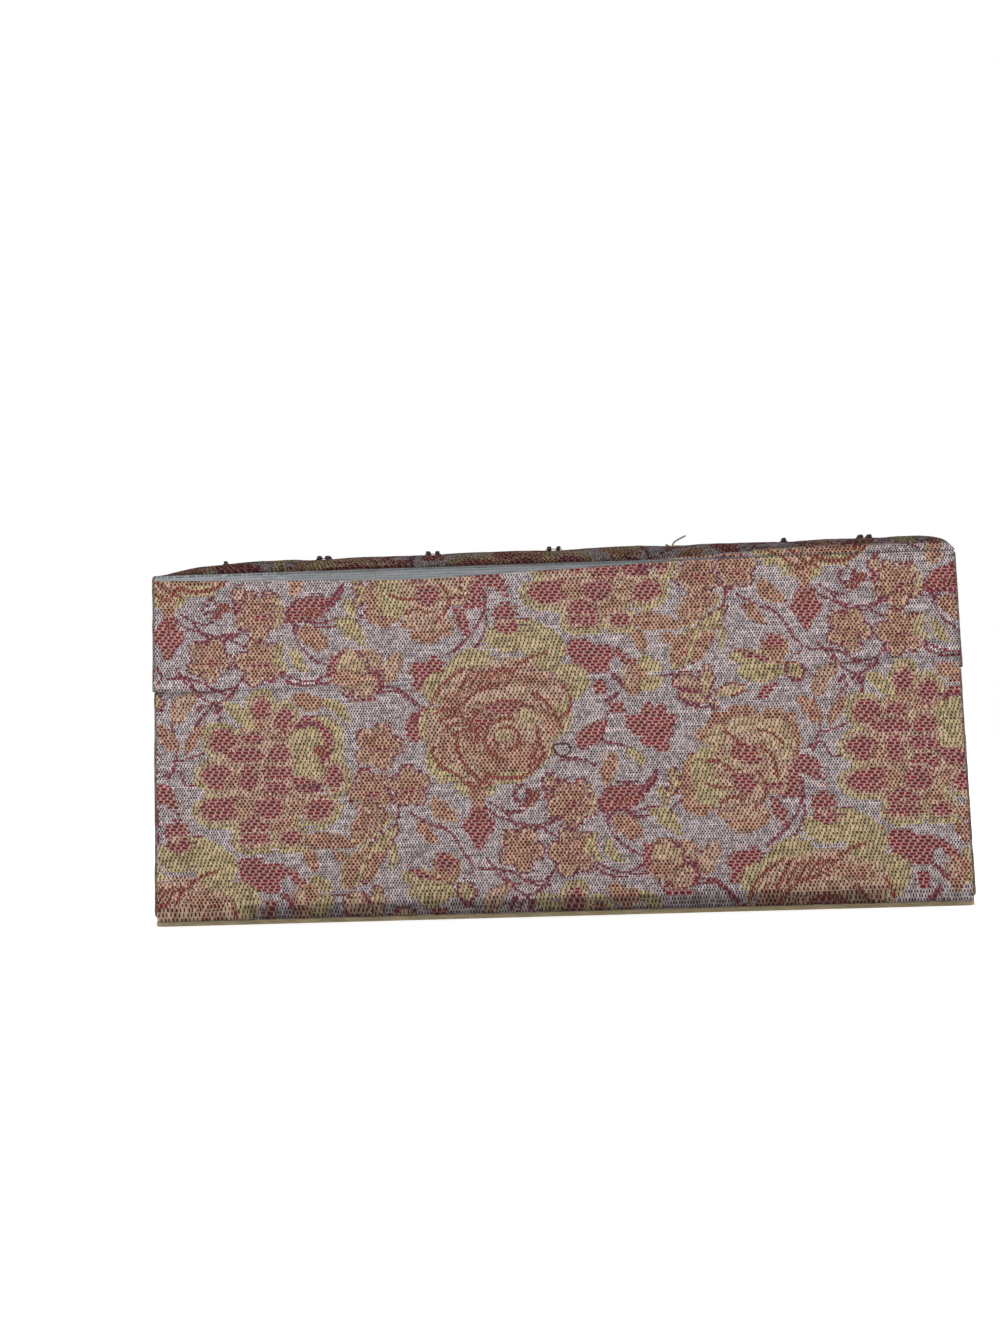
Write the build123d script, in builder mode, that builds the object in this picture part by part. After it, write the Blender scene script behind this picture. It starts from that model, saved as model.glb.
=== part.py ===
from build123d import *
import os

# A rectangular keepsake box covered in brocade. The lid is padded and tufted with seed beads, and turns on
# the cloth that runs up the back. X is the width, the hinge is at +Y, and Z is up from the table.

os.makedirs("parts", exist_ok=True)

# The closed box
base_width = 230.0
base_depth = 150.0
hinge_height = 66.0
lid_wall = 33.35
lid_overhang = 0.5
rim_gap = 0.3
corner_radius = 2.0
base_edge_roll = 1.6
lid_edge_roll = 0.8

# What the walls are built up from
board = 2.5
cloth = 0.45
satin = 0.3
lining_card = 1.2
paper_tape = 0.2
easing = 0.05

# How far the cloths are turned over an edge
wrap_turn = 12.0
satin_turn = 10.0
tape_leg = 15.0
tape_end = 4.0
back_cloth_inset = 1.2
lining_below_rim = 2.0

# The silver band along the top of the lid's back, seen below the crown
band_end_drop = 1.5
band_deep_drop = 3.4
band_thin_drop = 0.5
band_deep_from_share = 0.2
band_deep_to_share = 0.16
band_thin_share = -0.17

# The panel under the base
panel_card = 1.4
panel_inset = 0.8
panel_corner = 3.0
panel_edge_round = 0.6

# The pads on the floor of the base and under the top of the lid
pad_card = 1.0
pad_rise = 3.4
pad_run = 14.0
pad_corner = 3.0
pad_ease = 0.3

# The crown of the lid, from its edge to its flat middle
crown_rise = 8.6
crown_run_share = 0.61
crown_inset_shares = (0.0, 0.025, 0.087, 0.195, 0.37, 0.65, 1.0)
crown_rise_shares = (0.0, 0.23, 0.46, 0.65, 0.80, 0.93, 1.0)
crown_corner_shares = (0.0, 0.13, 0.30, 0.44, 0.54, 0.58, 0.5)

# The tufts and their beads: places across the lid are shares of its width, and rows are shares of its depth
tuft_radius = 14.0
tuft_depth = 1.1
bead_radius = 0.95
bead_length = 1.4
bead_bore_radius = 0.4
bead_round = 0.35
bead_pitch = 2.7
bead_lift = 0.25
bead_place_shares = (0.426, 0.296, 0.152, -0.007, -0.163, -0.308, -0.413)
bead_row_shares = (0.387, 0.1935, 0.0, -0.1935, -0.387)
bead_thread_radius = 0.14
bead_thread_reach = 3.0
thread_sink = 0.3
single_bead_places = (0, 5)
lost_bead_place = 4

# The thread end that the lost beads left
loose_thread_radius = 0.22
loose_thread_rise = 3.6
loose_thread_lean = 2.4
loose_thread_bow = 0.9
red_stub_rise = 1.1
red_stub_lean = 1.6

# The thread loop on the back of the base
loop_place = -1.2
loop_height = 45.8
loop_width = 5.0
loop_tall = 4.4
loop_thread_radius = 0.25
loop_foot_gap = 0.9
loop_stand = 0.45

# Values that follow from the sizes above
base_rim = hinge_height - rim_gap / 2
lid_rim = hinge_height + rim_gap / 2
wall_top = lid_rim + lid_wall
panel_thickness = panel_card + 2 * satin
back_face = base_depth / 2
lid_width = base_width + 2 * lid_overhang
lid_depth = base_depth + lid_overhang
lid_centre = -lid_overhang / 2
lid_back_edge = lid_centre + lid_depth / 2
crown_run = crown_run_share * lid_depth / 2
board_face = cloth + board
turned_face = board_face + cloth
lining_face = turned_face + satin + lining_card + satin
overrun = 2 * (base_width + wall_top)

# Each half is drawn from its own rim: Z runs from the rim to the closed side, and Y stays towards the hinge.
base_place = Plane((0, 0, base_rim), x_dir=(-1, 0, 0), z_dir=(0, 0, -1))
lid_place = Plane((0, lid_centre, lid_rim), x_dir=(1, 0, 0), z_dir=(0, 0, 1))
base_tall = base_rim - panel_thickness
lid_tall = lid_wall


def keep(piece, name):
    """Name a piece and write it out."""
    piece.label = name
    export_step(piece, f"parts/{name}.step")


def moved(place, along_x=0.0, along_y=0.0, along_z=0.0):
    """The same plane, shifted along its own axes."""
    corner = place.from_local_coords(Vector(along_x, along_y, along_z))
    return Plane(corner, x_dir=place.x_dir, z_dir=place.z_dir)


def wall_core(place, width, depth, tall, roll):
    """The space inside the outer cloth of one half, with its closed edge rolled."""
    with BuildPart() as core:
        with BuildSketch(moved(place, along_z=cloth)):
            RectangleRounded(width - 2 * cloth, depth - 2 * cloth, corner_radius - cloth)
        extrude(amount=tall - 2 * cloth)
        closed_side = core.faces().sort_by(Axis(place.origin, place.z_dir))[-1]
        fillet(closed_side.edges(), radius=roll - cloth)
    return core.part


def sleeve(place, width, depth, tall, roll):
    """The outer cloth of one half: over the rim and down inside, and over the closed edge."""
    core = wall_core(place, width, depth, tall, roll)
    with BuildPart() as cover:
        with BuildSketch(place):
            RectangleRounded(width, depth, corner_radius)
        extrude(amount=tall)
        closed_side = cover.faces().sort_by(Axis(place.origin, place.z_dir))[-1]
        fillet(closed_side.edges(), radius=roll)
        add(core, mode=Mode.SUBTRACT)
        with BuildSketch(place):
            Rectangle(width - 2 * turned_face, depth - 2 * turned_face)
        extrude(amount=wrap_turn, mode=Mode.SUBTRACT)
        with BuildSketch(place):
            Rectangle(width - 2 * board_face, depth - 2 * board_face)
            Rectangle(width - 2 * turned_face, depth - 2 * turned_face, mode=Mode.SUBTRACT)
        extrude(amount=wrap_turn)
        with BuildSketch(place):
            Rectangle(width - 2 * wrap_turn, depth - 2 * wrap_turn)
        extrude(amount=tall, mode=Mode.SUBTRACT)
    return cover.part


def wrap_cloth(place, width, depth, tall, roll):
    """The cloth of the front and the two ends, open at the back."""
    opening = width - 2 * back_cloth_inset
    whole = sleeve(place, width, depth, tall, roll)
    with BuildPart() as wrap:
        add(whole)
        with BuildSketch(moved(place, along_y=depth / 2 - turned_face, along_z=-easing)):
            Rectangle(opening, overrun, align=(Align.CENTER, Align.MIN))
        extrude(amount=overrun, mode=Mode.SUBTRACT)
        with BuildSketch(moved(place, along_y=depth / 2 - wrap_turn - easing, along_z=tall - cloth - easing)):
            Rectangle(opening, overrun, align=(Align.CENTER, Align.MIN))
        extrude(amount=overrun, mode=Mode.SUBTRACT)
    return wrap.part


def inner_hinge(place, width, depth):
    """The strip over the back rim, which runs on down inside the back board."""
    with BuildPart() as strip:
        with BuildSketch(moved(place, along_y=depth / 2 - cloth)):
            Rectangle(width - 2 * back_cloth_inset - 2 * easing, board, align=(Align.CENTER, Align.MAX))
        extrude(amount=cloth)
        with BuildSketch(moved(place, along_y=depth / 2 - board_face)):
            Rectangle(width - 2 * board_face - 2 * easing, cloth - easing, align=(Align.CENTER, Align.MAX))
        extrude(amount=wrap_turn)
    return strip.part


def wall_board(place, width, depth, tall, roll, side):
    """One wall board. The front and back boards run the full width, the end boards fit between them."""
    along_x, along_y = side
    core = wall_core(place, width, depth, tall, roll)
    with BuildPart() as wall:
        add(core)
        if along_y:
            with BuildSketch(moved(place, along_y=along_y * (depth / 2 - cloth - board / 2))):
                Rectangle(width, board)
        else:
            with BuildSketch(moved(place, along_x=along_x * (width / 2 - cloth - board / 2))):
                Rectangle(board, depth - 2 * board_face)
        extrude(amount=tall, mode=Mode.INTERSECT)
    return wall.part


def closing_board(place, width, depth, tall):
    """The floor of the base, or the top of the lid, inside the four wall boards."""
    with BuildPart() as panel:
        with BuildSketch(moved(place, along_z=tall - board_face)):
            Rectangle(width - 2 * board_face, depth - 2 * board_face)
        extrude(amount=board)
    return panel.part


def corner_tapes(place, width, depth, tall):
    """Folded paper tapes in the four upright corners, between the turned cloth and the closing board."""
    half_width = width / 2 - board_face
    half_depth = depth / 2 - board_face
    start = wrap_turn + tape_end
    with BuildPart() as tapes:
        with BuildSketch(moved(place, along_z=start)):
            for x_side in (-1, 1):
                for y_side in (-1, 1):
                    corner = Location((x_side * half_width, y_side * half_depth))
                    long_side = Location((-x_side * tape_leg / 2, -y_side * paper_tape / 2))
                    short_side = Location((-x_side * paper_tape / 2, -y_side * tape_leg / 2))
                    with Locations(corner * long_side):
                        Rectangle(tape_leg, paper_tape)
                    with Locations(corner * short_side):
                        Rectangle(paper_tape, tape_leg)
        extrude(amount=tall - board_face - start - tape_end)
    return tapes.part


def lining_pair(place, length, reach):
    """A lining card and the satin over its room face, its rim edge and the top of its back.

    The plane stands square to the wall: X runs into the room and Y from the closed side to the rim.
    """
    with BuildPart() as card:
        with BuildSketch(place):
            with Locations((satin, 0)):
                Rectangle(lining_card, reach - satin, align=(Align.MIN, Align.MIN))
        extrude(amount=length / 2, both=True)
    with BuildPart() as face:
        with BuildSketch(place):
            Rectangle(lining_card + 2 * satin, reach, align=(Align.MIN, Align.MIN))
            Rectangle(lining_card + satin, reach - satin, align=(Align.MIN, Align.MIN), mode=Mode.SUBTRACT)
            with Locations((0, reach)):
                Rectangle(satin, satin_turn, align=(Align.MIN, Align.MAX))
        extrude(amount=length / 2, both=True)
    return card.part, face.part


def lining_place(place, width, depth, tall, side):
    """Where a lining card's foot meets the closing board, seen along its wall."""
    along_x, along_y = side
    foot = moved(
        place,
        along_x=along_x * (width / 2 - turned_face),
        along_y=along_y * (depth / 2 - turned_face),
        along_z=tall - board_face,
    ).origin
    inward = place.x_dir * -along_x + place.y_dir * -along_y
    towards_rim = place.z_dir * -1
    return Plane(foot, x_dir=inward, z_dir=inward.cross(towards_rim))


def crowned(place, width, depth, corner, run, rise, skin):
    """Padding: it rises steeply from its edge, then more and more gently to a flat middle."""
    with BuildPart() as form:
        for inset_share, rise_share, corner_share in zip(
            crown_inset_shares, crown_rise_shares, crown_corner_shares
        ):
            inset = run * inset_share + skin
            with BuildSketch(place.offset((rise - skin) * rise_share)):
                RectangleRounded(
                    width - 2 * inset,
                    depth - 2 * inset,
                    corner - skin + run * corner_share,
                )
        loft()
    return form.part


def floor_pad(place, width, depth):
    """Card, wadding and satin of a loose pad. The plane lies on the closing board and faces the rim."""
    with BuildPart() as stiffener:
        with BuildSketch(moved(place, along_z=satin)):
            RectangleRounded(width - 2 * satin, depth - 2 * satin, pad_corner - satin)
        extrude(amount=pad_card)
    lifted = moved(place, along_z=satin + pad_card)
    filling = crowned(lifted, width, depth, pad_corner, pad_run, pad_rise, satin)
    outside = crowned(lifted, width, depth, pad_corner, pad_run, pad_rise, 0.0)
    with BuildPart() as cover:
        with BuildSketch(place):
            RectangleRounded(width, depth, pad_corner)
        extrude(amount=satin + pad_card)
        add(outside)
        add(stiffener.part, mode=Mode.SUBTRACT)
        add(filling, mode=Mode.SUBTRACT)
        with BuildSketch(place):
            Rectangle(width - 2 * satin_turn, depth - 2 * satin_turn)
        extrude(amount=satin, mode=Mode.SUBTRACT)
    return stiffener.part, filling, cover.part


def seed_bead():
    """One glass seed bead, its bore along X."""
    with BuildPart() as bead:
        with BuildSketch(Plane.XZ):
            with Locations((0, (bead_radius + bead_bore_radius) / 2)):
                RectangleRounded(bead_length, bead_radius - bead_bore_radius, bead_round * bead_bore_radius)
        revolve(axis=Axis.X)
    return bead.part


def bead_thread(pitch):
    """The stitch through the beads of one tuft, from the cloth on one side to the cloth on the other."""
    centre = bead_radius + bead_lift
    half = (pitch + bead_length) / 2
    with BuildPart() as stitch:
        with BuildLine(Plane.XZ):
            Polyline(
                (-bead_thread_reach, -thread_sink),
                (-half - bead_radius / 2, centre),
                (half + bead_radius / 2, centre),
                (bead_thread_reach, -thread_sink),
            )
            fillet(vertices().sort_by(Axis.Z)[-2:], radius=bead_radius / 2)
        with BuildSketch(Plane((-bead_thread_reach, 0, -thread_sink), z_dir=(1, 0, 1))):
            Circle(bead_thread_radius)
        sweep(transition=Transition.ROUND)
    return stitch.part


def surface_height(skin_faces, along_x, along_y):
    """Height of the topmost face over a point."""
    drop = Axis((along_x, along_y, wall_top + 2 * crown_rise), (0, 0, -1))
    crossings = []
    for face in skin_faces:
        for point, _ in face.find_intersection_points(drop):
            crossings.append(point.Z)
    return max(crossings)


def hollowed(crown, hollows, grown):
    """A crown with a round hollow pulled in at every tuft."""
    with BuildPart() as tufted:
        add(crown)
        with Locations(*hollows):
            Sphere(tuft_radius + grown, mode=Mode.SUBTRACT)
    return tufted.part


# The base and the lid: cloths, boards, tapes and linings
sides = {"front": (0, -1), "back": (0, 1), "left": (-1, 0), "right": (1, 0)}
halves = {
    "base": (base_place, base_width, base_depth, base_tall, base_edge_roll),
    "lid": (lid_place, lid_width, lid_depth, lid_tall, lid_edge_roll),
}
for half, (place, width, depth, tall, roll) in halves.items():
    keep(wrap_cloth(place, width, depth, tall, roll), f"{half}_wrap_cloth")
    keep(inner_hinge(place, width, depth), f"{half}_inner_hinge")
    keep(closing_board(place, width, depth, tall), f"{half}_closing_board")
    keep(corner_tapes(place, width, depth, tall), f"{half}_corner_tapes")
    reach = tall - board_face - lining_below_rim
    across = width - 2 * turned_face - 2 * easing
    between = depth - 2 * lining_face - 2 * easing
    for side, direction in sides.items():
        local = (direction[0] * round(place.x_dir.X), direction[1])
        keep(wall_board(place, width, depth, tall, roll, local), f"{half}_{side}_board")
        foot = lining_place(place, width, depth, tall, local)
        card, face = lining_pair(foot, across if direction[1] else between, reach)
        keep(card, f"{half}_{side}_lining_card")
        keep(face, f"{half}_{side}_lining_satin")
    pad_plane = Plane(moved(place, along_z=tall - board_face).origin, x_dir=place.x_dir, z_dir=-place.z_dir)
    pad_width = width - 2 * lining_face - 2 * pad_ease
    pad_depth = depth - 2 * lining_face - 2 * pad_ease
    stiffener, filling, cover = floor_pad(pad_plane, pad_width, pad_depth)
    keep(stiffener, f"{half}_pad_card")
    keep(filling, f"{half}_pad_wadding")
    keep(cover, f"{half}_pad_satin")

# The back cloth of the base: up the back board from under the floor
with BuildSketch(Plane.YZ) as board_space:
    with Locations((back_face - cloth, panel_thickness + cloth)):
        Rectangle(overrun, overrun, align=(Align.MAX, Align.MIN))
    fillet(vertices().group_by(Axis.Y)[0].sort_by(Axis.X)[-1], radius=base_edge_roll - cloth)
with BuildPart() as base_back_cloth:
    with BuildSketch(Plane.YZ):
        with Locations((back_face, panel_thickness)):
            Rectangle(wrap_turn, base_tall, align=(Align.MAX, Align.MIN))
        fillet(vertices().group_by(Axis.Y)[0].sort_by(Axis.X)[-1], radius=base_edge_roll)
        add(board_space.sketch_local, mode=Mode.SUBTRACT)
    extrude(amount=base_width / 2 - back_cloth_inset - easing, both=True)
keep(base_back_cloth.part, "base_back_cloth")

# The back cloth of the lid stops short of the crown, where a silver band shows
cloth_half = lid_width / 2 - back_cloth_inset - easing
band_line = (
    (cloth_half, wall_top - band_end_drop),
    (lid_width * band_deep_from_share, wall_top - band_deep_drop),
    (lid_width * band_deep_to_share, wall_top - band_deep_drop),
    (lid_width * band_thin_share, wall_top - band_thin_drop),
    (-cloth_half, wall_top - band_thin_drop),
)
back_sketch_plane = Plane((0, lid_back_edge, 0), x_dir=(1, 0, 0), z_dir=(0, -1, 0))
with BuildPart() as lid_back_cloth:
    with BuildSketch(back_sketch_plane):
        with BuildLine():
            Polyline(*band_line, (-cloth_half, lid_rim), (cloth_half, lid_rim), close=True)
        make_face()
    extrude(amount=cloth)
keep(lid_back_cloth.part, "lid_back_cloth")

band_edge = [(across, up + easing) for across, up in band_line]
with BuildPart() as lid_edge_band:
    with BuildSketch(back_sketch_plane):
        with BuildLine():
            Polyline(*band_edge, (-cloth_half, wall_top), (cloth_half, wall_top), close=True)
        make_face()
    extrude(amount=cloth)
    with BuildSketch(Plane((0, lid_back_edge, wall_top))):
        Rectangle(2 * cloth_half, wrap_turn, align=(Align.CENTER, Align.MAX))
    extrude(amount=-cloth)
keep(lid_edge_band.part, "lid_edge_band")

# The panel under the base
panel_width = base_width - 2 * panel_inset
panel_depth = base_depth - 2 * panel_inset
with BuildPart() as bottom_panel_card:
    with BuildSketch(Plane.XY.offset(satin)):
        RectangleRounded(panel_width - 2 * satin, panel_depth - 2 * satin, panel_corner - satin)
    extrude(amount=panel_card)
    fillet(faces().filter_by(Axis.Z).edges(), radius=panel_edge_round - satin)
keep(bottom_panel_card.part, "bottom_panel_card")

with BuildPart() as bottom_panel_satin:
    with BuildSketch():
        RectangleRounded(panel_width, panel_depth, panel_corner)
    extrude(amount=panel_thickness)
    fillet(faces().filter_by(Axis.Z).edges(), radius=panel_edge_round)
    add(bottom_panel_card.part, mode=Mode.SUBTRACT)
    with BuildSketch(Plane.XY.offset(panel_thickness)):
        Rectangle(panel_width - 2 * wrap_turn, panel_depth - 2 * wrap_turn)
    extrude(amount=-satin, mode=Mode.SUBTRACT)
keep(bottom_panel_satin.part, "bottom_panel_satin")

# The crown of the lid
crown_place = Plane((0, lid_centre, wall_top))
crown_size = (lid_width, lid_depth, corner_radius, crown_run, crown_rise)
plain_crown = crowned(crown_place, *crown_size, 0.0)
crown_faces = plain_crown.faces().filter_by(Axis.Z, reverse=True) + plain_crown.faces().sort_by(Axis.Z)[-1:]

tuft_spots = []
for row, row_share in enumerate(bead_row_shares):
    if row % 2:
        place_shares = [(near + far) / 2 for near, far in zip(bead_place_shares, bead_place_shares[1:])]
    else:
        place_shares = bead_place_shares
    for place_in_row, place_share in enumerate(place_shares):
        along_x = place_share * lid_width
        along_y = lid_centre + row_share * lid_depth
        seat = surface_height(crown_faces, along_x, along_y) - tuft_depth
        tuft_spots.append((row, place_in_row, Vector(along_x, along_y, seat)))

hollows = [seat + Vector(0, 0, tuft_radius) for _, _, seat in tuft_spots]
inner_crown = hollowed(crowned(crown_place, *crown_size, cloth), hollows, cloth)
outer_crown = hollowed(plain_crown, hollows, 0.0)
with BuildPart() as lid_top_cloth:
    add(outer_crown)
    add(inner_crown, mode=Mode.SUBTRACT)
keep(lid_top_cloth.part, "lid_top_cloth")
keep(hollowed(crowned(crown_place, *crown_size, cloth + easing), hollows, cloth + easing), "lid_wadding")

# The beads, and the stitches that hold them down
one_bead = seed_bead()
pair_thread = bead_thread(bead_pitch)
single_thread = bead_thread(0.0)
bead_centres = []
pair_seats = []
single_seats = []
lost_seat = None
for row, place_in_row, seat in tuft_spots:
    centre = seat + Vector(0, 0, bead_radius + bead_lift)
    if row == 0 and place_in_row == lost_bead_place:
        lost_seat = seat
    elif row == 0 and place_in_row in single_bead_places:
        bead_centres.append(centre)
        single_seats.append(seat)
    else:
        bead_centres.append(centre - Vector(bead_pitch / 2, 0, 0))
        bead_centres.append(centre + Vector(bead_pitch / 2, 0, 0))
        pair_seats.append(seat)

with BuildPart() as seed_beads:
    with Locations(*bead_centres):
        add(one_bead)
keep(seed_beads.part, "seed_beads")

with BuildPart() as bead_stitches:
    with Locations(*pair_seats):
        add(pair_thread)
    with Locations(*single_seats):
        add(single_thread)
keep(bead_stitches.part, "bead_stitches")

# The thread end where a pair of beads is lost, and a short red stub beside it
with BuildPart() as loose_thread:
    root = lost_seat - Vector(0, 0, thread_sink)
    tip = root + Vector(-loose_thread_lean, 0, loose_thread_rise)
    with BuildLine() as bent:
        ThreePointArc(root, (root + tip) / 2 + Vector(loose_thread_bow, 0, loose_thread_bow / 2), tip)
    with BuildSketch(Plane(root, z_dir=bent.line % 0)):
        Circle(loose_thread_radius)
    sweep()
    stub_root = root + Vector(2 * loose_thread_radius + easing, 0, 0)
    stub_tip = stub_root + Vector(red_stub_lean, 0, red_stub_rise)
    with BuildLine() as stub:
        Line(stub_root, stub_tip)
    with BuildSketch(Plane(stub_root, z_dir=stub.line % 0)):
        Circle(loose_thread_radius)
    sweep()
keep(loose_thread.part, "loose_thread")

# The thread loop on the back of the base, its two feet pulled through the cloth
with BuildPart() as thread_loop:
    low = loop_height - loop_tall / 2
    high = loop_height + loop_tall / 2
    with BuildLine() as loop_line:
        Spline(
            (loop_place + loop_foot_gap / 2, back_face - thread_sink, low),
            (loop_place + loop_width / 2, back_face + loop_stand, loop_height - loop_tall / 8),
            (loop_place, back_face + loop_stand, high),
            (loop_place - loop_width / 2, back_face + loop_stand, loop_height - loop_tall / 8),
            (loop_place - loop_foot_gap / 2, back_face - thread_sink, low),
        )
    with BuildSketch(Plane(loop_line.line @ 0, z_dir=loop_line.line % 0)):
        Circle(loop_thread_radius)
    sweep()
keep(thread_loop.part, "thread_loop")
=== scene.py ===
"""A brocade keepsake box with a padded, bead-tufted lid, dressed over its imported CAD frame."""

import logging
import math
from collections.abc import Callable, Iterable, Sequence
from dataclasses import dataclass
from enum import Enum, IntEnum

import bpy
import numpy as np
from mathutils import Matrix, Vector

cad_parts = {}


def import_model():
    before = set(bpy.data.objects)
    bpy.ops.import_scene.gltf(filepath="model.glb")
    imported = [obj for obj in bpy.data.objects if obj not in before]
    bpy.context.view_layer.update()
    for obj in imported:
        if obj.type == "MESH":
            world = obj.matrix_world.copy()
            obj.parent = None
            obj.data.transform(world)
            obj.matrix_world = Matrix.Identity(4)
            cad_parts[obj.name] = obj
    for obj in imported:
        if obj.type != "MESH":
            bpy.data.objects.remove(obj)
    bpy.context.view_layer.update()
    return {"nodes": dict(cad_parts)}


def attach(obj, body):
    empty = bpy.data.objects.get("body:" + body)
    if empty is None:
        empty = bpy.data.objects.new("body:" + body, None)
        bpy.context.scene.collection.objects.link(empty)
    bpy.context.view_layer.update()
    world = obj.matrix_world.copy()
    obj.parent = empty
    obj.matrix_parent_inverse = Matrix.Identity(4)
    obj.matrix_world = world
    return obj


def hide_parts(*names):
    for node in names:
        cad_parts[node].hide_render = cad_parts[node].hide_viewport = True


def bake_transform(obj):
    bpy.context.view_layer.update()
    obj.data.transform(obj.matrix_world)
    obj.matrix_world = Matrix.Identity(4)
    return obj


LOG = logging.getLogger("keepsake_box")
MM = 0.001

Array = np.ndarray
Material = bpy.types.Material
Object = bpy.types.Object
Point = tuple[float, float]
Place = tuple[float, float, float]
Line = Sequence[Point]
Mask = Callable[[Array, Array], Array]
Inputs = dict[int | str, object]


class Thread(IntEnum):
    """What lies on top of the cloth at one point of the weave."""

    GROUND = 0
    STEM = 1
    RED = 2
    ROSE = 3
    TAN = 4
    HATCH = 5
    PALE = 6
    GOLD = 7


GROUND, STEM, RED, ROSE, TAN, HATCH, PALE, GOLD = Thread


class PointPaper:
    """One repeat of a woven pattern on a grid, which wraps round at its edges.

    The repeat is the parallelogram of two steps, in millimetres across and down the cloth.
    """

    def __init__(self, across: Point, down: Point, squares: int) -> None:
        """Start with plain ground cloth.

        Args:
            across: the first step from a motif to its copy.
            down: the second step.
            squares: how many grid squares each step is divided into.
        """
        self.steps = np.array([across, down])
        self.to_share = np.linalg.inv(self.steps)
        self.squares = squares
        self.grid = np.zeros((squares, squares), np.int8)

    def paint(self, centre: Point, reach: float, inside: Mask, thread: Thread) -> None:
        """Set every square near a point where the test holds.

        Args:
            centre: the point, in millimetres.
            reach: how far from it to look.
            inside: takes places across and down, gives a mask.
            thread: what is woven there.
        """
        middle = (np.array(centre) @ self.to_share * self.squares).astype(int)
        half = int(reach * np.abs(self.to_share).sum() * self.squares) + 2
        near = np.arange(-half, half + 1)
        row, column = np.meshgrid(middle[0] + near, middle[1] + near, indexing="ij")
        place = np.stack([row + 0.5, column + 0.5], -1) / self.squares @ self.steps
        mask = inside(place[..., 0], place[..., 1])
        self.grid[(row % self.squares)[mask], (column % self.squares)[mask]] = thread

    def oval(self, x: float, y: float, long: float, wide: float, turn: float, thread: Thread) -> None:
        """An oval.

        Args:
            x: its place across.
            y: its place down.
            long: half its length along the turn.
            wide: half its width.
            turn: the angle of its length, in degrees.
            thread: what is woven there.
        """
        cosine, sine = math.cos(math.radians(turn)), math.sin(math.radians(turn))

        def inside(u: Array, v: Array) -> Array:
            """Where the oval covers the cloth."""
            along = ((u - x) * cosine + (v - y) * sine) / long
            aside = (-(u - x) * sine + (v - y) * cosine) / wide
            return along**2 + aside**2 < 1 + ragged(u, v) / min(long, wide)

        self.paint((x, y), max(long, wide), inside, thread)

    def ovals(self, x: float, y: float, thread: Thread, shapes: Iterable[tuple[float, ...]]) -> None:
        """Ovals about one point, each given by its place from there, its half length and width, and its turn."""
        for across, down, long, wide, turn in shapes:
            self.oval(x + across, y + down, long, wide, turn, thread)

    def ringed(
        self, x: float, y: float, long: float, wide: float, turn: float, thread: Thread, edge: Thread, rim: float,
    ) -> None:
        """An oval with a woven outline, as wide as the rim."""
        self.oval(x, y, long, wide, turn, edge)
        self.oval(x, y, long - rim, wide - rim, turn, thread)

    def petal(
        self, root: Point, tip: Point, wide: float, thread: Thread, edge: Thread | None = None, rim: float = 0.9,
    ) -> None:
        """A petal or leaf that is pointed at its root and rounder towards its tip.

        Args:
            root: where it starts.
            tip: where it ends.
            wide: its whole width.
            thread: what is woven there.
            edge: what its outline is woven in, if it has one.
            rim: how wide the outline is.
        """
        length = math.dist(root, tip)
        along_x, along_y = (tip[0] - root[0]) / length, (tip[1] - root[1]) / length
        middle = ((root[0] + tip[0]) / 2, (root[1] + tip[1]) / 2)
        for layer, margin in ((edge, 0.0), (thread, rim)) if edge is not None else ((thread, 0.0),):

            def inside(u: Array, v: Array) -> Array:
                """Where the petal covers the cloth, less the margin."""
                along = ((u - root[0]) * along_x + (v - root[1]) * along_y - margin) / (length - 2 * margin)
                aside = np.abs(-(u - root[0]) * along_y + (v - root[1]) * along_x)
                profile = np.sin(np.pi * np.clip(along, 0, 1) ** 1.35) ** 0.75
                return (along > 0) & (along < 1) & (aside < (wide / 2 - margin) * profile)

            self.paint(middle, length, inside, layer)

    def stroke(self, points: Line, wide: float, thread: Thread) -> None:
        """A stem or vein.

        Args:
            points: what it passes through, smoothed between them.
            wide: its whole width.
            thread: what is woven there.
        """
        line = smooth_line(points, 10)
        middle = line.mean(0)

        def inside(u: Array, v: Array) -> Array:
            """Where the stroke covers the cloth."""
            near = np.full(u.shape, np.inf)
            for start, end in zip(line, line[1:]):
                step = end - start
                share = np.clip(((u - start[0]) * step[0] + (v - start[1]) * step[1]) / (step @ step + 1e-9), 0, 1)
                near = np.minimum(near, np.hypot(u - start[0] - share * step[0], v - start[1] - share * step[1]))
            return near < wide / 2

        self.paint(tuple(middle), float(np.abs(line - middle).max()) + wide, inside, thread)

    def strokes(self, x: float, y: float, wide: float, thread: Thread, lines: Iterable[Line]) -> None:
        """Strokes of one width, with their points given from one place."""
        for line in lines:
            self.stroke([(x + across, y + down) for across, down in line], wide, thread)

    def leaf(self, points: Line, wide: float, thread: Thread, edge: Thread | None = None) -> None:
        """A narrow leaf that follows a curve.

        Args:
            points: what it passes through.
            wide: its width at the middle.
            thread: what is woven there.
            edge: what its outline is woven in, if it has one.
        """
        line = smooth_line(points, 6)
        for layer, grow in ((edge, 1.3), (thread, 0.0)):
            if layer is None:
                continue
            for index, (x, y) in enumerate(line):
                share = (index + 0.5) / len(line)
                radius = max((wide * math.sin(math.pi * share**0.85) + grow) / 2, 0.5)
                self.oval(x, y, radius, radius, 0, layer)

    def sprays(self, *groups: tuple) -> None:
        """Leaves in groups: the thread and the edge of each group, then each leaf's width and its points."""
        for thread, edge, *leaves in groups:
            for wide, *points in leaves:
                self.leaf(points, wide, thread, edge)

    def threads_at(self, across: Array, down: Array) -> Array:
        """Which thread lies on top at places on the cloth, in millimetres."""
        share = np.stack([across, down], -1) @ self.to_share * self.squares
        index = np.floor(share).astype(int) % self.squares
        return self.grid[index[..., 0], index[..., 1]]


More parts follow.
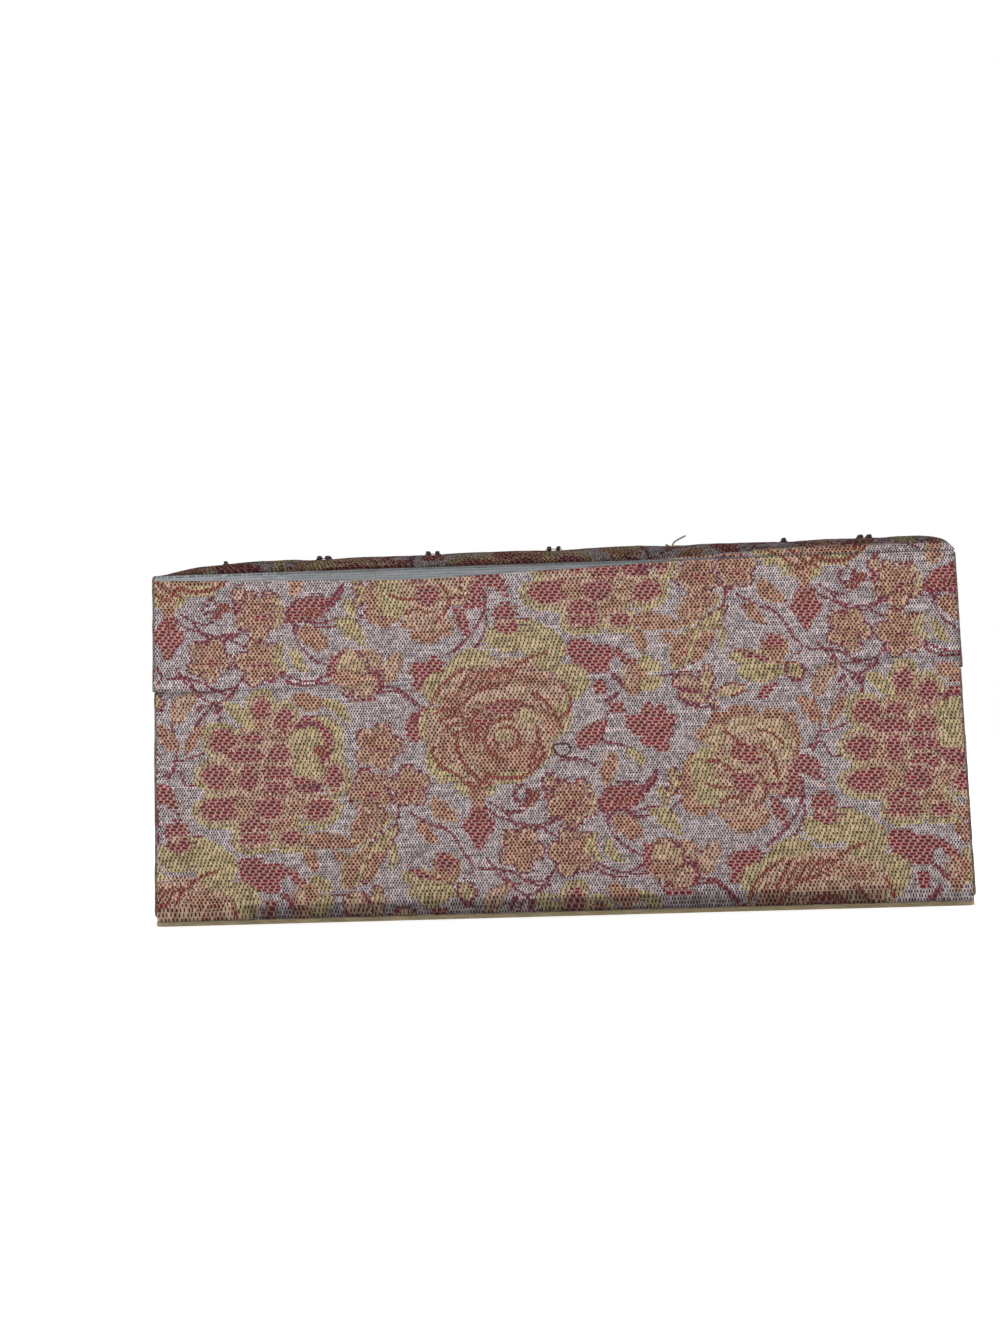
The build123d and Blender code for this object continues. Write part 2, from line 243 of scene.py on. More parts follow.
def ragged(across: Array, down: Array) -> Array:
    """The stepped edges of a woven figure.

    Args:
        across: places across the cloth, in millimetres.
        down: places down it.

    Returns:
        How far the edge is stepped out or in there, one row of weaving at a time.
    """
    row_height, step, deepest = 0.84, 2.2, 0.75
    row = np.floor(down / row_height)
    place = np.floor(across / step + 0.37 * row)
    return deepest * np.sin(12.9898 * place + 78.233 * row)


def smooth_line(points: Line, divisions: int) -> Array:
    """A curve through some points.

    Args:
        points: what the curve passes through.
        divisions: how many places there are from one point to the next.

    Returns:
        Closely spaced places on the curve.
    """
    knots = np.array([points[0], *points, points[-1]], float)
    share = np.linspace(0, 1, divisions, endpoint=False)[:, None]
    runs = []
    for before, start, end, after in zip(knots, knots[1:], knots[2:], knots[3:]):
        runs.append(
            0.5 * (2 * start + (end - before) * share
                   + (2 * before - 5 * start + 4 * end - after) * share**2
                   + (3 * start - before - 3 * end + after) * share**3)
        )
    return np.vstack([*runs, knots[-1:]])


class FloralRepeat(PointPaper):
    """The half-drop repeat of the brocade: a gold peony, a red chrysanthemum, a tan carnation, small blossoms,
    buds and leaves, joined by thin dark stems. Places are in millimetres across and down the box's back.
    """

    def __init__(self) -> None:
        """Draw the whole repeat, from the stems up to the largest flowers."""
        super().__init__((94.5, -59), (87.5, 56), 300)
        self.stems()
        self.leaves()
        self.side_flowers()
        self.plum_blossoms()
        self.carnation()
        self.chrysanthemum()
        self.peony()
        self.buds()

    def stems(self) -> None:
        """Thin burgundy stems between the flowers."""
        self.strokes(0, 0, 0.75, STEM, (
            [(2, 9), (6, 12), (10, 15.5), (16, 18), (22, 18.5), (29, 17)], [(9, 12), (13, 14.6), (18, 14.6), (20, 12)],
            [(22, 18.5), (27, 22), (32, 21.5)], [(5, 30.3), (11, 31), (14, 34.5), (19, 34.5), (23, 35.5), (26, 31)],
            [(36, 29.5), (41, 33), (47, 33.3), (54, 32.5)], [(38, 14), (44, 16.8), (52, 17), (58, 16.5), (63, 12)],
            [(41, 17), (43, 22), (47, 26), (50, 27.5)], [(54, 33), (57, 38), (62, 37), (70, 35.8), (76, 40)],
            [(83, 31), (88, 28), (92, 25.5), (96, 19.5), (96.5, 15)], [(125, 10), (131, 8)],
            [(137, 29), (139, 33.5), (144, 34), (151, 34), (156, 39)], [(130, 44), (128.5, 50), (127, 52)],
            [(127.5, 51), (131, 52.5), (136, 54), (139, 59)], [(116, 57), (121, 56.5), (126, 58.5)],
            [(130, 69), (135, 72), (142, 70.5), (148, 73)], [(127, 70), (132, 76), (136, 80)],
            [(124, 84), (128, 87), (134, 88.5), (139, 86)], [(100, 70.5), (104, 75), (110, 75.5), (117, 72)],
            [(95, 84), (100, 90), (106, 94), (112, 91)], [(106, 94), (102, 98), (100, 101)],
            [(106, 94), (107.5, 98), (106, 101)], [(150, 91), (158, 91), (162, 94), (166, 98)],
            [(168, 11), (173, 14.5), (178, 16)], [(176, 14.8), (180, 18), (183, 23), (185.5, 27), (184, 29)],
            [(170, 35.8), (176, 35.5), (180, 34)], [(165, 9), (164, 14), (161, 19), (160, 24)],
            [(191, 27), (196, 28.5), (201, 31), (206, 30.5), (209, 27)],
            [(188, 38), (188.5, 45), (189.5, 50), (187, 56)],
            [(189, 51), (194, 50), (199, 48)], [(186, 55), (190, 54), (192, 57.5), (195, 57.8)],
            [(154, 38), (158, 42), (160, 41)], [(152, 42), (156, 43), (161, 43.5)],
        ))

    def leaves(self) -> None:
        """Loose leaves, in pale green-gold, tan and red. The ones that lie over others come later."""
        self.sprays(
            (HATCH, PALE, (4.6, (58, 78), (62, 74), (68, 71))),
            (PALE, STEM, (4.8, (57, 90), (62, 84), (66, 78), (70, 74))),
            (HATCH, None, (2.6, (60, 88), (64, 83), (68, 80))),
            (HATCH, TAN,
             (4.4, (152, 16), (156, 13), (161, 11)), (3.6, (129, 63), (130, 59), (131.5, 55.5)),
             (4, (175, 8.5), (177, 11), (181, 13.5))),
            (HATCH, PALE, (4.6, (150, 31), (151.5, 26), (156, 21))),
            (TAN, HATCH,
             (3.8, (189, 40), (191, 35.5), (195, 32)), (3, (189.5, 47.5), (187, 44.5), (185, 41.5))),
            (HATCH, None,
             (3.8, (156, 30), (157.5, 25), (159.5, 21)), (3.6, (192, 48.5), (194.5, 44.5), (197.5, 40.5)),
             (3.4, (2, 44), (4.5, 47.5), (7.5, 51)), (4.2, (43.5, 18.2), (46.5, 20.5), (51, 22.6)),
             (4.2, (131.5, 73), (134.5, 75), (138.5, 77)), (3.8, (170.5, 14), (172.5, 17), (175.5, 19.5))),
            (PALE, None,
             (2.8, (162.5, 26.5), (163.3, 23), (163.5, 19.5)), (3.4, (56, 9.5), (58, 12), (58, 14.5)),
             (3.6, (55.5, 17.5), (59, 19.5), (62, 22.5)), (3.2, (140.5, 71.5), (145, 72.2), (149, 76)),
             (3.2, (135, 54.5), (138, 56), (139.5, 59)), (3.4, (128.5, 79), (130, 83), (133.5, 86))),
            (PALE, STEM, (3, (147, 60.5), (148.5, 64), (146, 67.5))),
            (RED, None,
             (8.4, (26, 83.5), (31, 87), (36, 91)), (5, (34, 84.5), (37, 87)),
             (1.8, (39.5, 85.5), (42, 89), (47, 91)), (3, (173, 41.5), (175, 38.5), (178, 36.8)),
             (5.6, (121.5, 52.5), (125, 50), (129, 46))),
            (RED, STEM, (6.8, (40.5, 13), (46, 11.5), (52, 9.5))),
            (STEM, None, (2.6, (50, 11), (54, 8), (55.5, 4.5))),
            (ROSE, None, (2.2, (44.5, 13), (48.5, 11.7))),
        )
        for tip in ((137.5, 44.5), (141.5, 41), (146, 41.5), (149.5, 45), (148.5, 49.5), (147, 55), (141, 54)):
            self.petal((141.5, 50), tip, 4.6, RED)
        self.leaf([(135.5, 45.5), (139, 48.5), (143, 50)], 4.8, RED)

    def side_flowers(self) -> None:
        """The half-open flowers between the large ones."""
        self.oval(61, 31.5, 6.5, 6.2, 0, STEM)
        for x, y, size in ((56.5, 26.5, 3.8), (62.5, 27, 4), (57.5, 32, 4.2), (61.5, 34.2, 4)):
            self.ringed(x, y, size, size * 0.85, -20, TAN, HATCH, 0.7)
        self.oval(58.5, 31, 3.2, 2.6, 0, HATCH)
        self.sprays(
            (RED, None, (2.2, (51.5, 25), (52.5, 29), (54, 33)), (1.8, (56, 36.5), (60, 38.2), (64, 38))),
            (TAN, HATCH, (4.2, (68, 32.5), (69.5, 28.5), (71.5, 25.5))),
        )
        self.ovals(0, 0, RED, (
            (77, 30, 3.3, 2.4, -15), (81, 29, 3.3, 2.4, -15), (78, 34, 3.3, 2.4, -15), (78, 44.5, 5.2, 3.6, -20),
            (75, 48, 2.6, 2.4, 0),
        ))
        self.oval(75.5, 43.5, 1.8, 1.3, 0, STEM)
        self.sprays((
            RED, None,
            (2.8, (94, 5.5), (98, 5.2), (101, 7.5), (103.5, 10)), (2.8, (88.5, 13.5), (89.3, 17), (92, 21.5)),
            (3.4, (90, 12.8), (93.5, 11), (97, 13.5)), (2.4, (167, 26.5), (171.5, 28.8), (179.5, 30.8)),
        ))
        for root, tip, wide in (
            ((182, 31.5), (164.5, 28.6), 5.6), ((183, 34), (166.5, 33.2), 5.4), ((181, 33), (171, 36.2), 3.6),
        ):
            self.petal(root, tip, wide, PALE)
        self.leaf([(167, 26.3), (172, 29), (179, 31)], 2, RED)
        self.oval(178, 26.5, 4.4, 3.4, 20, HATCH)
        self.oval(177.5, 25.2, 3.2, 2, 20, RED)
        self.ringed(183.3, 33.6, 3.4, 2.9, 60, PALE, STEM, 1)
        self.oval(138, 34.5, 4, 4.6, 20, HATCH)
        self.ovals(0, 0, PALE, ((142.5, 30.5, 3.6, 2, 25), (143, 35.8, 3.4, 1.9, -20)))
        self.oval(136.5, 33.5, 1.8, 3.2, 0, TAN)
        self.leaf([(133.3, 25), (135, 28), (139.3, 30)], 2.2, RED)
        self.ringed(145, 84.5, 5.6, 4.6, 10, GOLD, STEM, 0.9)
        self.oval(144, 87.5, 4.8, 2.2, 0, HATCH)
        self.leaf([(141.5, 80.5), (139.5, 84.5), (139, 88)], 2.2, RED)
        self.petal((152, 41), (159.5, 34.5), 4.6, TAN, STEM)
        self.sprays(
            (TAN, STEM,
             (4.4, (149.5, 36), (153.5, 35.7), (158, 39.5)), (2.4, (150.5, 39.5), (155, 40.2), (160.5, 42.5))),
            (GOLD, STEM,
             (3.6, (158.3, 39), (158.2, 35), (158.9, 31.5)), (2.8, (160.5, 39.8), (165, 38.3), (169, 38.2))),
        )
        self.oval(107.5, 67.2, 3.4, 1.9, -25, ROSE)

    def plum_blossoms(self) -> None:
        """Small round tan blossoms with a red heart, and the diamond bud beside them."""
        for x, y, size, spin in (
            (17, 25.3, 6.2, 10), (31.5, 26.3, 6.8, 40), (31.5, 12.8, 6.8, 20),
            (65, 51.5, 6.6, 0), (62.5, 64, 6.4, 30), (73.3, 63, 5.8, 50),
        ):
            turns = [72 * petal + spin for petal in range(5)]
            for turn in turns:
                away = 0.56 * size * np.array([math.cos(math.radians(turn)), math.sin(math.radians(turn))])
                self.ringed(x + away[0], y + away[1], 0.56 * size, 0.5 * size, turn, TAN, STEM, 0.6)
            for turn in turns:
                away = 0.46 * size * np.array([math.cos(math.radians(turn)), math.sin(math.radians(turn))])
                self.oval(x + away[0], y + away[1], 0.42 * size, 0.3 * size, turn, HATCH)
            self.oval(x, y, 0.44 * size, 0.36 * size, 0, HATCH)
            self.oval(x + 0.4, y + 0.9, 0.34 * size, 0.14 * size, 0, RED)
        self.leaf([(38, 21.5), (36.5, 25.5), (39.5, 29)], 3.2, PALE)
        self.leaf([(36, 8), (37.8, 12), (36, 17)], 2, GOLD)

        def diamond(u: Array, v: Array) -> Array:
            """Where the diamond bud covers the cloth."""
            return np.abs(u - 5.3) / 4.9 + np.abs(v - 18.3) / 7.6 < 1

        self.paint((5.3, 18.3), 9, diamond, RED)
        self.stroke([(5.3, 14), (5.4, 17)], 0.9, ROSE)
        self.ringed(17.5, 10.2, 2.6, 2.8, 0, GROUND, STEM, 1.1)

    def carnation(self) -> None:
        """The fringed gold carnation: a pale body, hatched outer petals and short red rows at its heart."""
        x, y = 167.5, 60.0
        for thread, shapes in (
            (HATCH, (
                (-6, -12.5, 3.2, 3.6, 0), (0, -14.8, 4.4, 2.6, 0), (10, -13.2, 5.8, 2.6, 6), (14, -8, 2.4, 6.6, 0),
                (-9.5, -9, 3.2, 3, 0), (-15, 3.5, 3, 7.6, 6), (-13, 10.5, 4.8, 3, 10), (-5, 12.6, 3.4, 2.4, 0),
                (-0.5, 15.6, 4.8, 2.8, 0), (4.4, 14.2, 2.6, 2.4, 0),
            )),
            (GOLD, ((-5, -7.5, 5.2, 4.6, 0), (2.5, -9.5, 9, 4.4, 0), (10.2, -6.5, 4.8, 6.2, 0))),
            (PALE, ((-8, 1, 6.8, 7.6, 0), (-9.2, 7.4, 4.8, 3.8, 0))),
            (TAN, ((1, 0, 9, 9.6, 0), (9, 2.4, 5.4, 5.4, 0), (-0.5, 10.5, 6.6, 4.6, 0))),
            (GOLD, ((4, -3.4, 1.7, 2.6, -30), (6.8, 4.6, 3, 1.6, 0), (-3.6, -1.8, 2.4, 1.8, 0))),
            (RED, (
                (0.6, -4.2, 4.2, 2.4, 0), (3, -1.6, 2.8, 1.4, 0), (0.2, 4.6, 3.6, 3, 0), (13.8, 3.8, 2, 3.6, 0),
                (8.6, 5.6, 3, 0.9, 0), (-2.6, 1.2, 2.2, 0.8, 0),
            )),
        ):
            self.ovals(x, y, thread, shapes)
        self.strokes(x, y, 0.9, ROSE, (
            [(-10.5, -2), (-6.5, -1.5), (-3.5, 1)], [(-11, 4.5), (-7.5, 5.6), (-3.5, 5.8)],
            [(3.5, 1.5), (5.5, 4), (6, 8)], [(5, -5.5), (8.5, -2), (9.5, 3)], [(-4.5, -10), (-1.5, -7.5), (-0.5, -6)],
            [(4.5, -10), (8.5, -9), (11.5, -6)], [(-6.5, 10), (-3.5, 8.5), (-0.5, 9.5)],
            [(1.5, 13), (4, 10.5), (5.5, 8.5)],
        ))
        self.sprays((
            RED, None,
            (2.6, (181, 61), (183, 58.6), (187, 59.2), (190.5, 63)), (2.8, (175, 68.5), (177, 71.5), (179.3, 75.5)),
        ))
        self.stroke([(183.8, 64), (183.3, 70), (179, 77), (173, 82)], 0.9, STEM)

    def chrysanthemum(self) -> None:
        """The large red chrysanthemum: separate dark petals edged in pale gold, with tan hatching on some of them."""
        x, y = 33.5, 58.0
        plain = ((4.4, 14.8, 3.4, 3.4, 20), (15.8, -8.2, 3.6, 6, -10))
        outer = (
            (-2.2, -17.5, 2.8, 4.4, 20), (4.5, -14.5, 2.8, 3.6, 25), (-12.5, -9, 4.2, 3.6, 15),
            (-14, 0.8, 5.2, 3.6, 18), (-12, 9.8, 7.6, 3.5, 0), (-4, 15.2, 4.6, 3.6, 0), (-3.8, 18.4, 5, 1.9, 0),
            (6.4, 18.4, 3.4, 2, 0), (14.2, 10.4, 4.4, 3.2, -15), (18.6, 1.6, 2.6, 3.9, -8),
        )
        for across, down, long, wide, turn in (*plain, *outer):
            self.oval(x + across * 1.04, y + down * 1.04, long + 1.8, wide + 1.8, turn, PALE)
        self.oval(x + 1, y - 0.5, 15.5, 14, 0, TAN)
        self.ovals(x, y, HATCH, (
            (-3.4, -13, 4.2, 2.4, 0), (3.8, -10.8, 3.6, 2.4, 0), (4.2, 14.8, 3.2, 3.4, 20), (9.8, 10.2, 3.8, 2.6, 0),
            (-8.6, -8.4, 2.6, 2.8, 0),
        ))
        inner = (
            (-4, -9.8, 3.6, 1.9, 0), (-6, -5.2, 5.6, 2.5, 0), (3.5, -5.3, 3.8, 2.6, 0), (-5.4, 1.4, 2.9, 3.8, 0),
            (3.6, 0.2, 6, 2.2, 8), (10.4, 3.8, 5.2, 2.4, 8), (2.4, 4.8, 4.8, 2.1, 0), (0.6, 9.8, 4.6, 3.4, 0),
        )
        for across, down, long, wide, turn in (*outer, *inner):
            self.ringed(x + across, y + down, long + 0.7, wide + 0.7, turn, RED, TAN, 0.95)
        self.ovals(x, y, HATCH, (
            (-10.4, 2.4, 2.2, 2.4, 0), (-6.8, 9.6, 2.8, 3, 0), (-2.4, -14, 2.6, 1.6, 0),
        ))
        for place_x, place_y, long, wide, turn, thread in (
            (x + 13.8, y + 4.2, 2.2, 1.4, 0, STEM), (46.2, 49.6, 7.4, 5.8, 70, RED),
            (44.8, 50.4, 5.6, 4.9, 70, PALE), (48.6, 52.2, 2.2, 1.8, 40, ROSE),
            (45.2, 57.2, 5.4, 2.3, 0, PALE),
        ):
            self.oval(place_x, place_y, long, wide, turn, thread)
        self.stroke([(42.5, 45.6), (45.5, 44.4), (48.5, 45.4)], 1, STEM)
        self.sprays(
            (HATCH, None, (4.8, (41, 37), (45.5, 38.5), (50, 38.8))),
            (PALE, None, (3.6, (50, 38), (54, 40.5), (57, 44)), (4.4, (21, 38), (26, 41.5), (29, 46))),
            (HATCH, None,
             (5.6, (44, 77), (50, 77.5), (57.5, 79)), (3.8, (44, 80.5), (45.5, 82.5), (46.5, 86)),
             (3, (52, 81), (54, 82.5), (56, 83.5))),
        )

    def peony(self) -> None:
        """The largest flower: pale scalloped outer petals, and tan inner ones drawn by fans and arcs of dark rows."""
        x, y = 101.0, 47.0
        self.ovals(x, y, PALE, (
            (4, -26, 9.5, 4.8, -5), (12, -21.5, 6, 6.2, 0), (18.6, -12.5, 5.6, 5.2, 20), (13.6, -3, 5.2, 7, 0),
            (9.3, 5, 4.8, 6, 0), (1, 11, 8, 5.2, -10), (-9, 15, 6.5, 4.8, 10), (-16.8, 8, 6.2, 7, 0),
            (-19.3, -0.5, 5.4, 6, 0), (-17.6, -12, 5.8, 4.6, -20), (-9.5, -17, 7.5, 5.4, -20),
        ))
        self.ovals(x, y, TAN, (
            (-10, -9.5, 9.5, 7.5, -45), (2, -13, 9.5, 6.5, 0), (9.5, -9, 8.5, 6, -20), (8, 1.5, 5.8, 7.4, -12),
            (-15, 1.5, 7.8, 9, 5), (-8.5, 10.5, 7.6, 5.6, 20), (1, 7.4, 8.4, 5.4, -10), (0, -1, 12, 10, 0),
        ))
        self.ovals(x, y, HATCH, (
            (-15.5, -6.5, 4.4, 3.2, -45), (-9, 1, 3, 8.5, 14), (-17, 5.5, 2.2, 5, 0), (8.5, -13, 6, 2.2, 12),
            (3.5, 8.5, 6.5, 4.2, -6), (-4, 9.5, 4, 4.8, 20), (12.5, -1.5, 1.8, 5.6, -24), (-8.5, 18, 2.4, 3.6, -10),
        ))
        self.strokes(x, y, 1.05, ROSE, (
            [(-13 + 2.7 * row, -9.5 - 0.5 * row), (-11.2 + 2.7 * row, -13 - 0.5 * row), (-8.6 + 2.7 * row, -16.6)]
            for row in range(6)
        ))
        self.strokes(x, y, 0.9, ROSE, (
            [(-20 + 1.6 * row, -4.5 + 2 * row), (-15.5 + 1.6 * row, -5.5 + 2 * row), (-11 + 1.2 * row, -4.2 + 2 * row)]
            for row in range(4)
        ))
        for radius, start, end in (
            (3.4, 150, 420), (6.2, 100, 330), (8.8, 175, 395), (11.4, 200, 310), (11.8, 20, 120), (14.2, 110, 190),
            (16.6, 215, 262), (15.4, 300, 350),
        ):
            turns = np.radians(np.linspace(start, end, 9))
            self.stroke(
                [(x + 0.5 + radius * math.cos(turn), y + 3.4 + 0.95 * radius * math.sin(turn)) for turn in turns],
                1.15, ROSE)
        self.ovals(x, y, RED, ((-0.5, -5.2, 4.8, 1.7, 0), (-6, -1.6, 2.6, 1.6, 0)))
        self.ovals(x, y, GOLD, ((6, -2, 3.2, 3, 0), (-0.5, 2, 2.4, 2.2, 0)))
        self.strokes(x, y, 1, ROSE, (
            [(4, -17.5), (8, -19.5), (12, -21)], [(17, -11), (19, -6), (16, -2)], [(-21, -7), (-17, -13), (-11, -17)],
            [(-21, 5), (-19, 10), (-14, 13)], [(-14, 13), (-9, 16.5), (-5, 13)], [(9.5, 4), (10.5, 8), (6, 11.5)],
        ))

    def buds(self) -> None:
        """Small closed buds."""
        self.ovals(0, 0, RED, (
            (102, 14.8, 3.4, 3.2, 0), (102.5, 18.3, 3.6, 2.4, 0), (128.2, 36.4, 2, 2.3, 0), (133, 42.3, 2.3, 1.8, 10),
        ))
        self.leaf([(104, 17.5), (106.5, 17.3), (108.5, 16)], 1.6, STEM)
        self.oval(102, 17, 2.2, 0.9, 0, TAN)
        self.stroke([(132, 33), (134.5, 36)], 1.4, STEM)
        self.strokes(0, 0, 1.2, STEM, (
            [(130, 40.5), (133, 38.5)], [(195.5, 37), (197, 35.5)], [(200.8, 37.5), (202.2, 36)],
        ))
        self.ringed(113, 63, 2.4, 2.8, 10, TAN, STEM, 0.8)
        self.oval(112.5, 66.6, 1.6, 1, -20, RED)


@dataclass(frozen=True)
class Yarn:
    """How one figure of the brocade is woven. Colours are as they look in even light, lengths in millimetres.

    Attributes:
        top: the yarn that floats on top.
        under: the yarn that shows between the floats.
        under_share: how much of each float's run the lower yarn takes.
        rise: how far the figure stands proud.
        shape: a float's length, the height of a row, and how far each row is set aside, as a share of a float.
        row_gap: how plainly the lower yarn shows between rows.
    """

    top: str
    under: str
    under_share: float
    rise: float
    shape: Place
    row_gap: float = 0.0


YARNS = {
    GROUND: Yarn("#dccccd", "#43343a", 0.48, 0.0, (0.8, 0.7, 0.5)),
    STEM: Yarn("#742836", "#b8989a", 0.22, 0.04, (1.7, 0.8, 0.37), 0.25),
    RED: Yarn("#741e2b", "#d9b1a6", 0.26, 0.06, (1.9, 0.88, 0.37), 0.5),
    ROSE: Yarn("#7c3234", "#d2b08e", 0.24, 0.06, (1.3, 0.84, 0.4), 0.1),
    TAN: Yarn("#d5b9a1", "#6a282a", 0.42, 0.10, (1.15, 0.84, 0.4)),
    HATCH: Yarn("#cfae92", "#6c2029", 0.54, 0.08, (1.1, 0.8, 0.5)),
    PALE: Yarn("#d3bf97", "#5f4630", 0.42, 0.12, (1.12, 0.86, 0.3)),
    GOLD: Yarn("#d7bd9c", "#683d2c", 0.36, 0.12, (1.15, 0.86, 0.3)),
}


def linear(code: str) -> tuple[float, float, float, float]:
    """The linear colour of an sRGB code such as #c0afb0."""
    parts = [int(code[place:place + 2], 16) / 255 for place in (1, 3, 5)]
    return (*(part / 12.92 if part <= 0.04045 else ((part + 0.055) / 1.055) ** 2.4 for part in parts), 1.0)


def eased(value: Array | float) -> Array:
    """A smooth step from 0 to 1 as the value goes from 0 to 1."""
    share = np.clip(value, 0, 1)
    return share * share * (3 - 2 * share)


def hump(far: Array, spread: float) -> Array:
    """1 at no distance, and less the further a place is, by its spread."""
    return np.exp(-((far / spread) ** 2))


class Wire:
    """A value in a node graph, which other values are reckoned from."""

    def __init__(self, paint: "Paint", socket: bpy.types.NodeSocket) -> None:
        """Hold the socket that gives the value."""
        self.paint = paint
        self.socket = socket

    def op(self, operation: str, *others: "Wire | float") -> "Wire":
        """The result of one step of arithmetic."""
        return self.paint.add("Math", dict(enumerate((self, *others))), operation=operation)

    def __add__(self, other: "Wire | float") -> "Wire":
        """The sum of two values."""
        return self.op("ADD", other)

    def __sub__(self, other: "Wire | float") -> "Wire":
        """What is left of this value without the other."""
        return self.op("SUBTRACT", other)

    def __mul__(self, other: "Wire | float") -> "Wire":
        """The product of two values."""
        return self.op("MULTIPLY", other)

    def __truediv__(self, other: "Wire | float") -> "Wire":
        """This value as a multiple of the other."""
        return self.op("DIVIDE", other)

    def between(self, low: "Wire | float", high: "Wire | float") -> "Wire":
        """0 below the low value and 1 above the high one, eased between them."""
        return self.paint.add("MapRange", {0: self, 1: low, 2: high}, interpolation_type="SMOOTHSTEP")


class Paint:
    """The node graph of one material, or of the air round the set."""

    def __init__(self, name: str, home: bpy.types.bpy_prop_collection | None = None) -> None:
        """Start the graph of a new material, or of something new in another home."""
        self.owner = (bpy.data.materials if home is None else home).new(name)
        self.owner.use_nodes = True
        self.tree = self.owner.node_tree

    def fill(self, node: bpy.types.Node, inputs: Inputs) -> None:
        """Give a node's sockets their values or wires.

        Args:
            node: the node.
            inputs: values or wires, by the name or number of their socket.
        """
        for key, value in inputs.items():
            if isinstance(value, Wire):
                self.tree.links.new(value.socket, node.inputs[key])
            else:
                node.inputs[key].default_value = value

    def add(self, kind: str, inputs: Inputs | None = None, output: int | str = 0, **settings: object) -> Wire:
        """Add a node.

        Args:
            kind: the node's type, without its ShaderNode prefix.
            inputs: values or wires, by the name or number of their socket.
            output: which output is wanted.
            **settings: the node's own settings.

        Returns:
            The wanted output.
        """
        made = self.tree.nodes.new("ShaderNode" + kind)
        for key, value in settings.items():
            setattr(made, key, value)
        self.fill(made, inputs or {})
        return Wire(self, made.outputs[output])

    def finish(self, inputs: Inputs, last: str = "Principled BSDF") -> bpy.types.ID:
        """Fill the last node's sockets, and give what the graph belongs to."""
        self.fill(self.tree.nodes[last], inputs)
        return self.owner

    def seen(self) -> Wire:
        """1 for the rays that look at the set, from the camera or by way of a gloss or glass, and 0 for light."""
        rays = [self.add("LightPath", output=ray) for ray in ("Is Camera Ray", "Is Glossy Ray", "Is Transmission Ray")]
        return (rays[0] + rays[1] + rays[2]).op("MINIMUM", 1.0)


@dataclass(frozen=True)
class Brocade:
    """Silk and metallised brocade. The eye sees tan and pale figures in short floats with dark specks between
    them, red ones in long level floats, and a grey-mauve ground, finely barred, with long bright slubs.

    The real threads are about 0.3 mm apart. The floats are drawn 0.8 mm long in the ground and 1.1 to 1.9 mm in the
    figures, as coarse as they need to be to show.
    """

    name: str = "brocade_jacquard_woven"
    gloss: float = 0.12

    def make(self) -> Material:
        """Build the material, whose yarns come from each face and whose floats lie along the cloth.

        Returns:
            The material.
        """
        paint = Paint(self.name)
        add = paint.add
        cloth = add("UVMap", uv_map="cloth")
        shape = add("Attribute", output="Vector", attribute_name="float_shape")
        place, down = (add("SeparateXYZ", {0: cloth}, axis) for axis in (0, 1))
        length, height, step = (add("SeparateXYZ", {0: shape}, axis) for axis in (0, 1, 2))
        wander = add("TexNoise", {"Vector": cloth, "Scale": 0.35, "Detail": 2.0})
        row = (down + wander * 0.6) / height
        number = row.op("FLOOR")
        jitter = add("TexWhiteNoise", {"W": number}, "Value", noise_dimensions="1D")
        run_along = place / length + number * step + jitter * 0.2 + wander * 0.8
        spot = add("CombineXYZ", {0: run_along.op("FLOOR"), 1: number})
        glint = add("TexWhiteNoise", {"Vector": spot}, "Value", noise_dimensions="2D")
        end, aside = ((way.op("FRACT") - 0.5).op("ABSOLUTE") * 2 for way in (run_along, row))
        share, row_gap, painted_light = (
            add("Attribute", output="Fac", attribute_name=name) for name in ("under_share", "row_gap", "painted_light"))
        edge = share.op("MULTIPLY", -1.0) + 1.0 + (glint - 0.5) * 0.24
        speck = end.between(edge - 0.08, edge + 0.08) * aside.between(1.0, 0.66)
        speck = speck.op("MAXIMUM", aside.between(0.55, 0.8) * row_gap)
        top, under = (add("Attribute", output="Color", attribute_name=name) for name in ("top_yarn", "under_yarn"))
        woven = add("Mix", {0: speck, 6: top, 7: under}, 2, data_type="RGBA")
        slub, fine = (
            add("TexNoise", {"Vector": add("Mapping", {0: cloth, 3: scale}), "Scale": 1.0, "Detail": detail})
            for scale, detail in (((0.08, 1.1, 1.0), 3.0), ((0.5, 1.6, 1.0), 1.0)))
        plain = row_gap.op("MAXIMUM", height.between(0.76, 0.78)) * -0.7 + 1.0
        bright = slub.between(0.54, 0.68) * plain * 0.4
        tone = slub.between(0.3, 0.6) * 0.12 + fine.between(0.25, 0.75) * 0.16 + glint * 0.56 + bright + 0.48
        # painted shade and highlights, read from each face, darken or lighten the tone
        tone = tone * painted_light
        grey = add("CombineXYZ", {0: tone, 1: tone, 2: tone})
        relief = speck * -0.7 + aside * aside * -0.3 + fine * 0.3
        return paint.finish({
            "Base Color": add("Mix", {0: 1.0, 6: woven, 7: grey}, 2, data_type="RGBA", blend_type="MULTIPLY"),
            "Roughness": speck * 0.14 + 0.48,
            "Specular IOR Level": self.gloss,
            "Normal": add("Bump", {"Height": relief, "Distance": 0.09 * MM, "Strength": 0.7}),
        })


